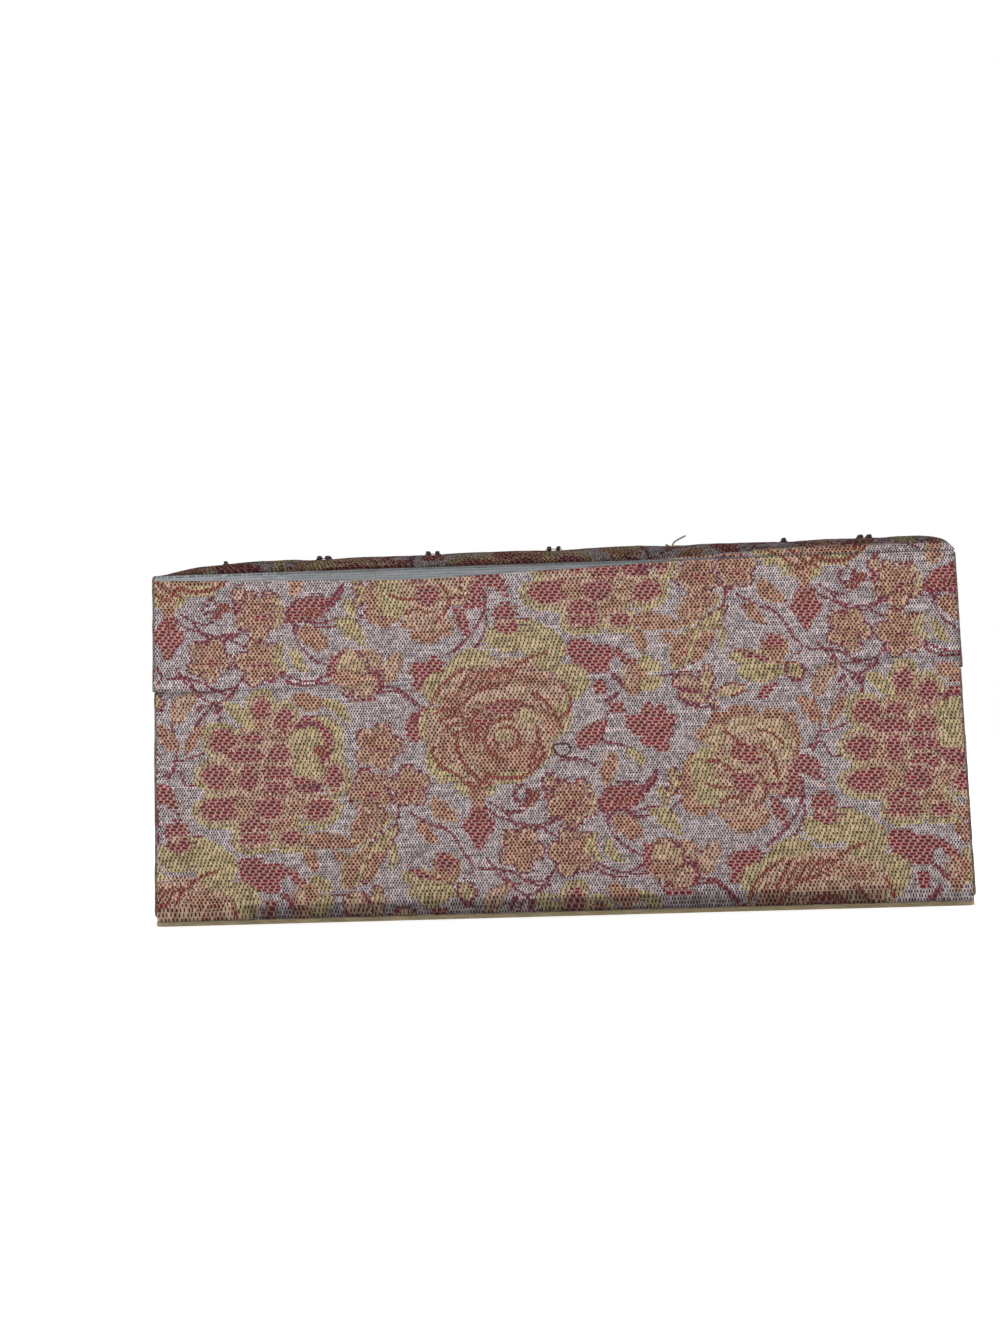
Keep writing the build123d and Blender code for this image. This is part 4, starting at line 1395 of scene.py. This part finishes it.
@dataclass(frozen=True)
class Crown:
    """The shape of the padded top of the lid: it swells from its edges and is pulled in at each tuft."""

    rise: float = 8.4
    end_runs: Point = (1.0, 7.0)
    side_run: float = 8.0
    turned_share: float = 0.27
    tuft_depth: float = 0.85
    tuft_spread: float = 4.0
    place_shares: tuple[float, ...] = (0.426, 0.296, 0.152, -0.007, -0.163, -0.308, -0.413)
    row_shares: tuple[float, ...] = (0.387, 0.1935, 0.0, -0.1935, -0.387)

    def tufts(self) -> list[tuple[int, int, float, float]]:
        """Find the tufts. The rows are staggered.

        Returns:
            The row and number of each tuft, with its X and Y.
        """
        found = []
        for row, row_share in enumerate(self.row_shares):
            shares = self.place_shares
            if row % 2:
                shares = tuple((near + far) / 2 for near, far in zip(shares, shares[1:]))
            y = LID.middle + row_share * LID.depth
            found += [(row, number, share * LID.width, y) for number, share in enumerate(shares)]
        return found

    def height(self, x: Array, y: Array) -> Array:
        """Work out the crown.

        Args:
            x: places along X.
            y: places along Y.

        Returns:
            The height of the cloth above the lid's top edge.
        """
        from_ends = np.maximum(LID.width / 2 - np.abs(x), 0)
        from_sides = np.maximum(LID.depth / 2 - np.abs(y - LID.middle), 0)
        end_run = np.where(x < 0, *self.end_runs)
        turned = self.turned_share * eased((-x - 30) / 50) * (y > LID.middle)
        from_edge = turned * (1 - np.exp(-from_sides / 1.1))
        from_edge = from_edge + (1 - turned) * (1 - np.exp(-from_sides / (self.side_run * (1 + 1.6 * turned))))
        swell = (1 - np.exp(-from_ends / end_run)) * from_edge
        fuller = 0.96 - 0.0011 * x
        level = self.rise * fuller * swell
        for _, _, tuft_x, tuft_y in self.tufts():
            far = np.hypot(x - tuft_x, y - tuft_y)
            angle = np.arctan2(y - tuft_y, x - tuft_x)
            level = level - self.tuft_depth * np.exp(-((far / self.tuft_spread) ** 2) / 2)
            pucker = np.exp(-far / 5.0) * (1 - hump(far, 1.6))
            level = level - 0.16 * pucker * (np.cos(6 * angle + tuft_x) * 0.5 + 0.5)
        return level + 0.12 * ripple(x, y) * eased(from_sides / 6) * eased(from_ends / 6)

    def seat(self, x: float, y: float) -> float:
        """The height of the cloth at one place, from the table."""
        return WALL_TOP + float(self.height(np.array(x), np.array(y)))

    def surface(self, pitch: float, inset: float, drop: float) -> Array:
        """The crown as a grid, from the back edge forwards and from +X to -X.

        Args:
            pitch: the spacing of its places.
            inset: how far its edge is set in.
            drop: how far it lies below the cloth's own surface.

        Returns:
            The places.
        """
        half_x, half_y = LID.width / 2 - inset, LID.depth / 2 - inset
        x, y = np.meshgrid(self.spaced(half_x, pitch), self.spaced(half_y, pitch))
        corner = CORNER - min(inset, 1.5)
        x, y = rounded(x, y, half_x - corner, half_y - corner)
        y = y + LID.middle
        return np.stack([x, y, WALL_TOP + np.maximum(self.height(x, y) - drop, 0.02)], -1)

    def spaced(self, half: float, pitch: float) -> Array:
        """Places from a half size down to its opposite, closer together near both ends."""
        near = half - np.array([0, 0.12, 0.3, 0.55, 0.85, 1.2, 1.7, 2.3])
        return np.concatenate([near, run(near[-1], -near[-1], pitch)[1:-1], -near[::-1]])


def pad_of(
    name: str, outer: Array, level: float, finish: Material, turned: bool = False,
) -> Object:
    """A pad that swells on one face and is flat on the other.

    Args:
        name: its name.
        outer: the places of its swelling face.
        level: the height of its flat face.
        finish: what it is made of.
        turned: whether the swelling face looks down.

    Returns:
        The pad.
    """
    flat = outer.copy()
    flat[..., 2] = level
    rows, columns = (every(count, 1) for count in outer.shape[:2])
    return ClothGrid(name, outer, outer[..., :2], 1.0, rows, columns, turned=turned, inner=flat).make(finish)


@dataclass
class PaddedTop:
    """The brocade over the lid's padding, and the wadding inside."""

    crown: Crown
    paper: PointPaper
    brocade: Material
    wadding: Material
    pitch: float = 0.8
    turned_up: float = 2.6
    moved: Point = (21.0, 9.0)

    def cloth(self) -> Object:
        """Build the top cloth.

        Returns:
            The cloth.
        """
        outer = self.crown.surface(self.pitch, 0.1, 0.0)
        from_back = BACK - outer[..., 1]
        rise = outer[..., 2] - WALL_TOP
        rolled = rise < self.turned_up * eased((-outer[..., 0] - 20) / 60) * (from_back < 4)
        u = BACK_ORIGIN[0] - outer[..., 0] + self.moved[0]
        u = np.where(rolled, u - self.moved[0], u)
        v = np.where(rolled, outer[..., 2] - BACK_ORIGIN[1], outer[..., 1] - BACK - self.moved[1])
        stops = [every(count, 5, (1, 3, 5, 7, count - 2, count - 4, count - 6)) for count in outer.shape[:2]]
        grid = ClothGrid("crown_cloth", outer, np.stack([u, -v], -1), CLOTH, *stops)
        grid.inner = grid.at_stops(outer - grid.normals() * CLOTH)
        grid.inner[..., 2] = np.maximum(grid.inner[..., 2], WALL_TOP)
        # painted shade: the crown is darkest at its back edge, where light only grazes it, and lightens over about 26
        # mm forwards; its turned-up edge on the back is shaded a little, to 0.92
        back_edge_shade = 0.36 - 0.14 * eased((1.6 - from_back) / 1.2) + 0.62 * eased((from_back - 8.0) / 26.0)
        made = weave(grid, self.paper, self.brocade, middles(np.where(rolled, 0.92, back_edge_shade)))
        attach(made, "lid")
        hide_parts("lid_top_cloth")
        return made

    def padding(self) -> Object:
        """Build the wadding.

        Returns:
            The wadding.
        """
        made = pad_of("lid_padding", self.crown.surface(3.0, 0.6, 0.75), WALL_TOP + 0.01, self.wadding)
        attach(made, "lid")
        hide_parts("lid_wadding")
        return made


def thread_piece(
    name: str, runs: Iterable[Sequence[Place]], radius: float, finish: Material,
) -> Object:
    """Threads as one curve object.

    Args:
        name: its name.
        runs: the points each thread is drawn towards, in millimetres.
        radius: half a thread's thickness.
        finish: the yarn.

    Returns:
        The object.
    """
    curve = bpy.data.curves.new(name, "CURVE")
    curve.dimensions = "3D"
    curve.bevel_depth = radius * MM
    curve.bevel_resolution = 2
    curve.use_fill_caps = True
    curve.resolution_u = 5
    for points in runs:
        spline = curve.splines.new("NURBS")
        spline.points.add(len(points) - 1)
        for point, place in zip(spline.points, points):
            point.co = (*(value * MM for value in place), 1.0)
        spline.order_u = 3
        spline.use_endpoint_u = True
    return placed(name, curve, finish)


@dataclass
class Beadwork:
    """The seed beads of the tufts, their stitches, and what is left where a pair came off."""

    crown: Crown
    glass: Material
    red_thread: Material
    grey_thread: Material
    radius: float = 0.95
    bore: float = 0.35
    length: float = 1.4
    pitch: float = 2.7
    clear: float = 0.2
    singles: tuple[int, ...] = (0, 5)
    lost: int = 4

    def seats(self) -> list[tuple[int, float, float, float]]:
        """Find where the beads sit.

        Returns:
            How many beads each tuft holds, its X and Y, and the height of the cloth there.
        """
        found = []
        for row, number, x, y in self.crown.tufts():
            beads = 2
            if row == 0:
                beads = 0 if number == self.lost else 1 if number in self.singles else 2
            found.append((beads, x, y, self.crown.seat(x, y)))
        return found

    def beads(self) -> Object:
        """Build every bead as a ring drawn out along its bore.

        Returns:
            The beads, as one piece.
        """
        vary = np.random.default_rng(7)
        made = None
        for beads, x, y, level in self.seats():
            for place in {0: (), 1: (0.0,), 2: (-0.5, 0.5)}[beads]:
                aside = y + vary.uniform(-0.15, 0.15)
                centre = Vector((x + place * self.pitch, aside, level + self.radius + self.clear)) * MM
                turn = (0, math.pi / 2 + vary.uniform(-0.16, 0.16), vary.uniform(-0.2, 0.2))
                bpy.ops.mesh.primitive_torus_add(
                    major_segments=20, minor_segments=10, location=centre, rotation=turn,
                    major_radius=(self.radius + self.bore) / 2 * MM, minor_radius=(self.radius - self.bore) / 2 * MM,
                )
                if made is None:
                    made = bpy.context.object
                    made.name = "seed_bead_pairs"
                    bpy.ops.object.transform_apply(location=True, rotation=True, scale=True)
                    bpy.ops.object.mode_set(mode="EDIT")
                    bpy.ops.mesh.select_all(action="SELECT")
                long = self.length / (self.radius - self.bore) * vary.uniform(0.92, 1.05)
                bpy.ops.transform.resize(value=(long, 1, 1), center_override=centre)
                bpy.ops.mesh.select_all(action="DESELECT")
        bpy.ops.object.mode_set(mode="OBJECT")
        bpy.ops.object.shade_smooth()
        made.data.materials.append(self.glass)
        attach(made, "lid")
        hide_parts("seed_beads")
        return made

    def stitches(self) -> Object:
        """Build the stitch through each tuft's beads.

        Returns:
            The stitches, as one piece.
        """
        runs = []
        for beads, x, y, level in self.seats():
            if not beads:
                continue
            half = (self.pitch * (beads - 1) + self.length) / 2
            centre = level + self.radius + self.clear
            foot = 3.0 if beads == 2 else 1.8
            feet = [self.crown.seat(x + side * foot, y) - 0.4 for side in (-1, 1)]
            runs.append([
                (x - foot, y, feet[0]), (x - half - 0.35, y, centre - 0.15), (x - half, y, centre),
                (x + half, y, centre), (x + half + 0.35, y, centre - 0.15), (x + foot, y, feet[1]),
            ])
        made = thread_piece("tuft_stitches", runs, 0.14, self.red_thread)
        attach(made, "lid")
        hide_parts("bead_stitches")
        return made

    def loose_end(self) -> Object:
        """Build the grey thread end that stands where two beads are lost, with its stub.

        Returns:
            Both threads, as one piece.
        """
        _, x, y, level = next(seat for seat in self.seats() if seat[0] == 0)
        runs = [[(x + across, y + along, level + up) for across, along, up in line] for line in (
            ((0.2, 0, -0.4), (0.1, 0, 1.3), (-1.6, 0, 2.5), (-4.0, -0.2, 3.6)),
            ((0.5, 0, -0.4), (1.0, 0, 0.7), (2.2, 0.1, 1.0)),
        )]
        made = thread_piece("loose_tuft_thread", runs, 0.27, self.grey_thread)
        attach(made, "lid")
        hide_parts("loose_thread")
        return made


@dataclass
class Tray:
    """A cloth that covers a flat card or a low dome, and turns down over its four edges and in beneath it."""

    name: str
    half_x: float
    half_y: float
    middle: float
    level: float
    upward: float
    thick: float
    turn: float
    dome: float = 0.0
    corner: float = 3.0
    pitch: float = 2.0
    cloth: float = SATIN
    lean: float = 0.0
    waver: float = 0.05

    @property
    def flat(self) -> Point:
        """The size the cloth was cut to, in metres."""
        more = self.thick + self.turn
        return (2 * (self.half_x + more) * MM, 2 * (self.half_y + more) * MM)

    def swell(self, x: Array, y: Array) -> Array:
        """The padding's shape.

        Args:
            x: places along X, from the middle.
            y: places along Y.

        Returns:
            How far the padding rises there.
        """
        from_ends = np.maximum(self.half_x - np.abs(x), 0)
        from_sides = np.maximum(self.half_y - np.abs(y), 0)
        rise = self.dome * (1 - np.exp(-from_ends / 5)) * (1 - np.exp(-from_sides / 5))
        return rise + self.waver * ripple(x * 1.3, y * 1.3) * eased(from_ends / 5) * eased(from_sides / 5)

    def lines(self, half: float) -> Array:
        """Grid lines from a half size down to its opposite, and on over both edges.

        Args:
            half: the half size.

        Returns:
            The lines' places on the cloth.
        """
        edges = np.concatenate([
            run(self.corner, 0, 0.8), self.thick * np.array([-0.12, -0.3, -0.45, -0.7, -0.88, -1.0]),
            -self.thick - run(0, self.turn, 1.6)[1:],
        ])
        side = half - edges[::-1]
        return np.concatenate([side, run(half - self.corner, self.corner - half, self.pitch)[1:-1], -side[::-1]])

    def make(self, material: Material) -> Object:
        """Build the cloth.

        Args:
            material: what it is made of.

        Returns:
            The cloth.
        """
        columns, rows = self.lines(self.half_x), self.lines(self.half_y)
        s, t = np.meshgrid(columns, rows)
        over = np.maximum(np.abs(s) - self.half_x, np.abs(t) - self.half_y)
        thick, corner = self.thick, self.corner
        edge, far = min(0.3, thick * 0.3), 1e3
        inset = np.interp(
            over, [-far, -corner, 0, thick * 0.12, thick * 0.45, thick * 0.88, thick, thick + self.turn],
            [far, corner, edge, 0, 0, self.lean, self.lean + edge, self.turn])
        drop = np.interp(over, [0, thick * 0.12, thick * 0.88, thick], [0, edge, thick - edge, thick])
        x, y = (
            line * np.where(over <= 0, 1.0, (half - inset) / (half + np.maximum(over, 0)))
            for line, half in ((s, self.half_x), (t, self.half_y)))
        round_it = np.maximum(corner - np.maximum(inset, 0), 0.2)
        centre_x, centre_y = (half - np.maximum(inset, 0) - round_it for half in (self.half_x, self.half_y))
        x, y = rounded(x, y, centre_x, centre_y, over > -corner)
        rise = self.swell(x, y) * (over <= thick * 0.5)
        outer = np.stack([x, y + self.middle, self.level + self.upward * (rise - drop)], -1)
        row_bends, column_bends = (
            np.nonzero(np.abs(lines) > half - corner)[0]
            for lines, half in ((rows, self.half_y), (columns, self.half_x)))
        return ClothGrid(
            self.name, outer, np.stack([s, t], -1), self.cloth, every(rows.size, 4, row_bends),
            every(columns.size, 4, column_bends), turned=self.upward < 0,
        ).make(material)


@dataclass
class BottomPanel:
    """The gold satin over the panel under the base, with frayed threads along its back edge."""

    satin: Material
    thread: Material
    threads: int = 190

    def make(self) -> list[Object]:
        """Build both.

        Returns:
            The satin and the frayed threads.
        """
        tray = Tray("bottom_panel_cover", 114.9, 74.9, 0.0, 0.0, -1.0, 2.0, TURN, corner=3.0, lean=0.75, waver=0.0)
        cover = tray.make(self.satin)
        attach(cover, "base")
        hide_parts("bottom_panel_satin")
        tray.flat
        tray.flat[0] * tray.flat[1] * 0.99
        vary = np.random.default_rng(11)
        runs = []
        for place in np.sort(vary.uniform(-112, 112, self.threads)):
            level = vary.uniform(0.35, 1.2)
            reach = vary.uniform(1.2, 4.5)
            runs.append([
                (place, 74.7, level),
                (place - reach * 0.3, 75.05 + vary.uniform(0, 0.2), level + vary.uniform(-0.2, 0.2)),
                (place - reach * 0.7, 75.1 + vary.uniform(0, 0.3), level + vary.uniform(-0.2, 0.2)),
                (place - reach, 74.9 + vary.uniform(0, 0.4), max(0.15, level + vary.uniform(-0.5, 0.1))),
            ])
        fray = thread_piece("frayed_panel_threads", runs, 0.11, self.thread)
        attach(fray, "base")
        return [cover, fray]


class Side(Enum):
    """A wall of the box, with the way it faces along X and Y."""

    FRONT = (0, -1)
    BACK = (0, 1)
    LEFT = (-1, 0)
    RIGHT = (1, 0)


@dataclass
class Interior:
    """The satin linings and pads of one half."""

    half: Half
    satin: Material
    wadding: Material

    def strip(self, side: Side) -> Object:
        """Build the satin of one lining card: up its room face, over its rim edge and down its back.

        Args:
            side: the wall that the card stands against.

        Returns:
            The satin.
        """
        half, up = self.half, self.half.towards_rim
        way_x, way_y = side.value
        place = f"{half.name}_{side.name.lower()}"
        foot = np.array([
            way_x * (half.width / 2 - TURNED_FACE), half.middle + way_y * (half.depth / 2 - TURNED_FACE),
            half.closed_side + up * BOARD_FACE,
        ])
        length = half.width - 2 * TURNED_FACE - 0.1 if way_y else half.depth - 2 * LINING_FACE - 0.1
        reach = half.tall - BOARD_FACE - 2.0
        thick = LINING_FACE - TURNED_FACE
        corner = 0.35
        face = run(0.0, reach - corner, 2.0)
        cosine, sine = arc(3, 0, 90)
        over = run(thick - corner, corner, 0.6)[1:]
        back = run(reach - corner, reach - SATIN_TURN, 2.0)[1:]
        into = np.concatenate([
            np.full(face.size, thick), thick - corner + corner * cosine, over, corner - corner * sine,
            np.zeros(back.size),
        ])
        rise = np.concatenate([
            face, reach - corner + corner * sine, np.full(over.size, reach), reach - corner + corner * cosine, back])
        along = run(length / 2, -length / 2, 2.0)
        travelled = lengths(into, rise)
        line = np.array([1.0, 0, 0]) if way_y else np.array([0, 1.0, 0])
        inward = np.array([-way_x, -way_y, 0.0])
        slack = 0.12 * (np.abs(into - thick) < TINY) * eased(rise / 6) * eased((reach - rise) / 6)
        push = slack[:, None] * ripple(along[None, :] * 0.9 + 40 * way_x, travelled[:, None] * 0.5) * eased(
            (length / 2 - np.abs(along)) / 4)[None, :]
        outer = (
            foot + along[None, :, None] * line + (into[:, None] + push)[..., None] * inward
            + rise[:, None, None] * np.array([0, 0, up])
        )
        facing = np.cross(-line, np.array([0, 0, up])) @ inward
        cloth = np.stack(np.broadcast_arrays(along[None, :], travelled[:, None]), -1)
        made = ClothGrid(
            f"{place}_lining", outer, cloth, SATIN * 0.95,
            every(into.size, 4, range(face.size - 1, into.size - back.size + 1)), every(along.size, 4),
            turned=facing < 0,
        ).make(self.satin)
        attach(made, half.name)
        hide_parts(f"{place}_lining_satin")
        return made

    def pad(self) -> list[Object]:
        """Build the loose pad.

        Returns:
            Its satin and the wadding inside.
        """
        half, up = self.half, self.half.towards_rim
        card = 1.3
        half_x, half_y = half.width / 2 - LINING_FACE - 0.3, half.depth / 2 - LINING_FACE - 0.3
        top = half.closed_side + up * (BOARD_FACE + card)
        tray = Tray(f"{half.name}_pad_cover", half_x, half_y, half.middle, top, up, card, SATIN_TURN, dome=3.4)
        cover = tray.make(self.satin)
        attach(cover, half.name)
        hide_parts(f"{half.name}_pad_satin")
        tray.flat
        x, y = np.meshgrid(run(half_x - 0.6, 0.6 - half_x, 4.0), run(half_y - 0.6, 0.6 - half_y, 4.0))
        rise = np.maximum(tray.swell(x, y) - 0.35, 0.02)
        outer = np.stack([x, y + half.middle, top + up * rise], -1)
        filling = pad_of(f"{half.name}_pad_filling", outer, top, self.wadding, turned=up < 0)
        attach(filling, half.name)
        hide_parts(f"{half.name}_pad_wadding")
        return [cover, filling]


@dataclass
class InnerHinge:
    """The brocade strip that joins both halves on the inside. It lies over both back rims and folds between them."""

    paper: PointPaper
    finish: Material

    def make(self) -> Object:
        """Build the strip.

        Returns:
            The strip.
        """
        thick = CLOTH * 0.9
        leaf, rim = BACK - TURNED_FACE, BACK - CLOTH
        base_leaf = run(BASE.rim - TURN, BASE.rim - 0.4, 1.2)
        lower = run(leaf + 0.4, rim - 0.05, 0.6)
        upright = np.full(base_leaf.size, leaf)
        y = np.concatenate([upright, [leaf + 0.12], lower, [rim], lower[::-1], [leaf + 0.12], upright])
        z = np.concatenate([
            base_leaf, [BASE.rim - 0.12], np.full(lower.size, BASE.rim), [HINGE_HEIGHT], np.full(lower.size, LID.rim),
            [LID.rim + 0.12], 2 * HINGE_HEIGHT - base_leaf[::-1],
        ])
        x = np.repeat(run(111.4, -111.4, 0.8)[None, :], y.size, 0)
        travelled = lengths(y, z)
        outer = np.stack(np.broadcast_arrays(x, y[:, None], z[:, None]), -1)
        cloth = np.stack(np.broadcast_arrays(BACK_ORIGIN[0] - x + 13, 60 - travelled[:, None]), -1)
        grid = ClothGrid(
            "inner_hinge_strip", outer, cloth, thick, list(range(y.size)), every(x.shape[1], 30), turned=True)
        on_rim, upper = y > leaf + 0.3, z > HINGE_HEIGHT
        into = np.where(upper, 1.0, -1.0) * (np.abs(z - HINGE_HEIGHT) > 0.01)
        inner_y = np.minimum(y + np.where(on_rim, 0.0, thick), rim)
        beside = np.where(upper, np.maximum(z, LID.rim + thick), np.minimum(z, BASE.rim - thick))
        inner_z = np.where(on_rim, z + into * thick, beside)
        grid.inner = grid.at_stops(np.stack(np.broadcast_arrays(x, inner_y[:, None], inner_z[:, None]), -1))
        made = weave(grid, self.paper, self.finish)
        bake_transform(made)
        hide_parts("base_inner_hinge", "lid_inner_hinge")
        return made


@dataclass
class BackThreads:
    """The thread loop on the back of the base, and the pulled threads of a snag."""

    red_thread: Material
    grey_thread: Material
    snag_x: float = 39.4
    snag_z: float = 18.0
    snag_threads: int = 9

    def loop(self) -> Object:
        """Build the loop, whose feet cross.

        Returns:
            The loop.
        """
        points = [
            (-0.7, 74.7, 43.9), (-0.9, 75.2, 44.1), (-2.0, 75.5, 44.4), (-3.1, 75.6, 45.1), (-3.8, 75.65, 46.3),
            (-3.4, 75.6, 47.9), (-1.6, 75.55, 47.9), (0.5, 75.5, 47.9), (1.3, 75.5, 47.2), (0.7, 75.6, 45.9),
            (-0.3, 75.75, 44.7), (-1.8, 75.5, 44.0), (-2.8, 74.7, 43.9),
        ]
        made = thread_piece("back_thread_loop", [points], 0.27, self.red_thread)
        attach(made, "base")
        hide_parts("thread_loop")
        return made

    def snag(self) -> Object:
        """Build the pulled threads.

        Returns:
            The threads, as one piece.
        """
        vary = np.random.default_rng(5)
        runs = []
        for _ in range(self.snag_threads):
            x, z = self.snag_x + vary.normal(0, 0.9), self.snag_z + vary.normal(0, 0.6)
            reach = vary.uniform(0.8, 2.2)
            turn = vary.uniform(0, math.tau)
            end_x, end_z = x + reach * math.cos(turn), z + reach * 0.6 * math.sin(turn)
            runs.append([
                (x, 74.9, z), (x + 0.2, 75.7, z + 0.3), ((x + end_x) / 2, 75.9, (z + end_z) / 2 + 0.3),
                (end_x, BACK, end_z),
            ])
        made = thread_piece("snagged_threads", runs, 0.13, self.grey_thread)
        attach(made, "base")
        return made


@dataclass
class BoardFinishes:
    """Better finishes for the boards, cards and tapes that keep their CAD shape."""

    nodes: dict[str, Object]

    def dress(self) -> int:
        """Give every hidden stiffener its paper or board.

        Returns:
            How many were dressed.
        """
        dressed = 0
        for ending, finish in (
            ("_board", Fibreboard("greyboard_pressed", "#a59c8e", "#857c70", "#5d554b")),
            ("_card", Fibreboard("lining_card_pressed", "#cfc5b0", "#b3a891", "#8b7f69")),
            ("_tapes", Fibreboard("kraft_tape_gummed", "#ad8358", "#8f6a45", "#6b4d31")),
        ):
            material = finish.make()
            for node in (node for name, node in self.nodes.items() if name.endswith(ending)):
                dressed += 1
                for slot in node.material_slots:
                    slot.material = material
        return dressed


@dataclass
class Studio:
    """A white floor and even, soft light from all five sides."""

    white: tuple[float, float, float, float] = (1.0, 1.0, 1.0, 1.0)
    fill: float = 0.33

    def floor(self) -> None:
        """Lay the floor, which is as white as the air to whatever looks at it."""
        bpy.ops.mesh.primitive_plane_add(size=8.0, location=(0, 0, 0))
        floor = bpy.context.object
        floor.name = "studio_floor"
        paint = Paint("studio_floor_painted")
        grain = paint.add("TexNoise", {"Vector": paint.add("TexCoord", output="Object"), "Scale": 40.0, "Detail": 2.0})
        tone = paint.add("Mix", {0: grain, 6: linear("#f4f4f4"), 7: linear("#fafafa")}, 2, data_type="RGBA")
        floor.data.materials.append(paint.finish({
            "Base Color": tone, "Roughness": 0.95, "Specular IOR Level": 0.0, "Emission Color": self.white,
            "Emission Strength": paint.seen() * 0.7,
        }))

    def air(self) -> None:
        """Set a white background for the camera, and an even fill for everything else."""
        air = Paint("studio_air", bpy.data.worlds)
        bpy.context.scene.world = air.owner
        shown, fill = (air.add("Background", {"Color": self.white, "Strength": power}) for power in (1.0, self.fill))
        air.finish({0: air.add("MixShader", {0: air.seen(), 1: fill, 2: shown})}, "World Output")

    def lamp(self, name: str, place: Place, aim: Place, size: float, power: float) -> None:
        """Hang one soft lamp.

        Args:
            name: its name.
            place: where it hangs.
            aim: what it is turned to.
            size: how wide it is.
            power: how strong it is.
        """
        light = bpy.data.lights.new(name, "AREA")
        light.shape = "SQUARE"
        light.size = size
        light.energy = power
        made = bpy.data.objects.new(name, light)
        made.location = place
        made.rotation_euler = (Vector(aim) - Vector(place)).to_track_quat("-Z", "Y").to_euler()
        bpy.context.scene.collection.objects.link(made)

    def build(self) -> None:
        """Light the set. The lamp behind the box is the one that the photograph's side is seen by."""
        self.floor()
        self.air()
        for name, place, aim, size, power in (
            ("window_light", (0.3, 1.7, 0.3), (0, 0.075, 0.05), 0.6, 7.4),
            ("front_light", (-0.3, -1.6, 0.5), (0, 0, 0.05), 1.2, 5.5),
            ("left_light", (-1.6, -0.3, 0.5), (0, 0, 0.05), 1.2, 5.5),
            ("right_light", (1.6, -0.3, 0.5), (0, 0, 0.05), 1.2, 5.5),
            ("top_light", (0.0, -0.5, 1.6), (0, 0, 0.1), 1.0, 9.0),
        ):
            self.lamp(name, place, aim, size, power)
        bpy.context.scene.view_settings.view_transform = "Standard"


@dataclass(frozen=True)
class Viewpoint:
    """Where the photograph was taken from: behind the box, near its mid height, looking slightly up."""

    place: Place = (10.3, 358.3, 48.3)
    turn: float = 1.04
    tilt: float = 4.44
    roll: float = -1.71
    lens: float = 27.0

    def make(self) -> None:
        """Build the camera."""
        turn, tilt, roll = (math.radians(angle) for angle in (self.turn, self.tilt, self.roll))
        ahead = Vector((math.sin(turn) * math.cos(tilt), -math.cos(turn) * math.cos(tilt), math.sin(tilt)))
        right = ahead.cross(Vector((0, 0, 1))).normalized()
        up = right.cross(ahead)
        rolled_right = right * math.cos(roll) + up * math.sin(roll)
        rolled_up = up * math.cos(roll) - right * math.sin(roll)
        camera = bpy.data.objects.new("viewpoint", bpy.data.cameras.new("viewpoint"))
        camera.data.lens = self.lens
        camera.data.sensor_width = 36.0
        camera.data.clip_start = 0.01
        axes = Matrix((rolled_right, rolled_up, -ahead)).transposed().to_4x4()
        camera.matrix_world = Matrix.Translation(Vector(self.place) * MM) @ axes
        bpy.context.scene.collection.objects.link(camera)
        bpy.context.scene.camera = camera


def main() -> None:
    """Build the box over its frame, piece by piece."""
    logging.basicConfig(level=logging.INFO, format="%(message)s")
    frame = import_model()

    paper = FloralRepeat()
    brocade = Brocade().make()
    gold = Satin("gold_satin_woven", "#b3a47e", "#7b6845").make()
    lining = Satin("old_gold_satin_woven", "#cdb98c", "#a48a5c", twill_pitch=1.4).make()
    wadding, red_thread, grey_thread = (finish.make() for finish in (WADDING, RED_THREAD, GREY_THREAD))

    hinge_cloth = HingeCloth(paper, brocade)
    crown = Crown()
    top = PaddedTop(crown, paper, Brocade("brocade_jacquard_dusty", gloss=0.0).make(), wadding)
    beadwork = Beadwork(crown, SEED_GLASS.make(), red_thread, grey_thread)
    threads = BackThreads(red_thread, grey_thread)
    built = [
        hinge_cloth.make(),
        SilverBand(hinge_cloth, SilverRibbon().make()).make(),
        WrapCloth(BASE, paper, brocade).make(),
        WrapCloth(LID, paper, brocade).make(),
        top.padding(),
        top.cloth(),
        beadwork.beads(),
        beadwork.stitches(),
        beadwork.loose_end(),
        threads.loop(),
        threads.snag(),
        *BottomPanel(gold, gold).make(),
        InnerHinge(paper, brocade).make(),
    ]
    for half in (BASE, LID):
        interior = Interior(half, lining, wadding)
        built += [*(interior.strip(side) for side in Side), *interior.pad()]
    for piece in built:
        LOG.info("built %s", piece.name)
    LOG.info("dressed %d boards, cards and tapes", BoardFinishes(frame["nodes"]).dress())

    Studio().build()
    Viewpoint().make()


if __name__ == "__main__":
    main()
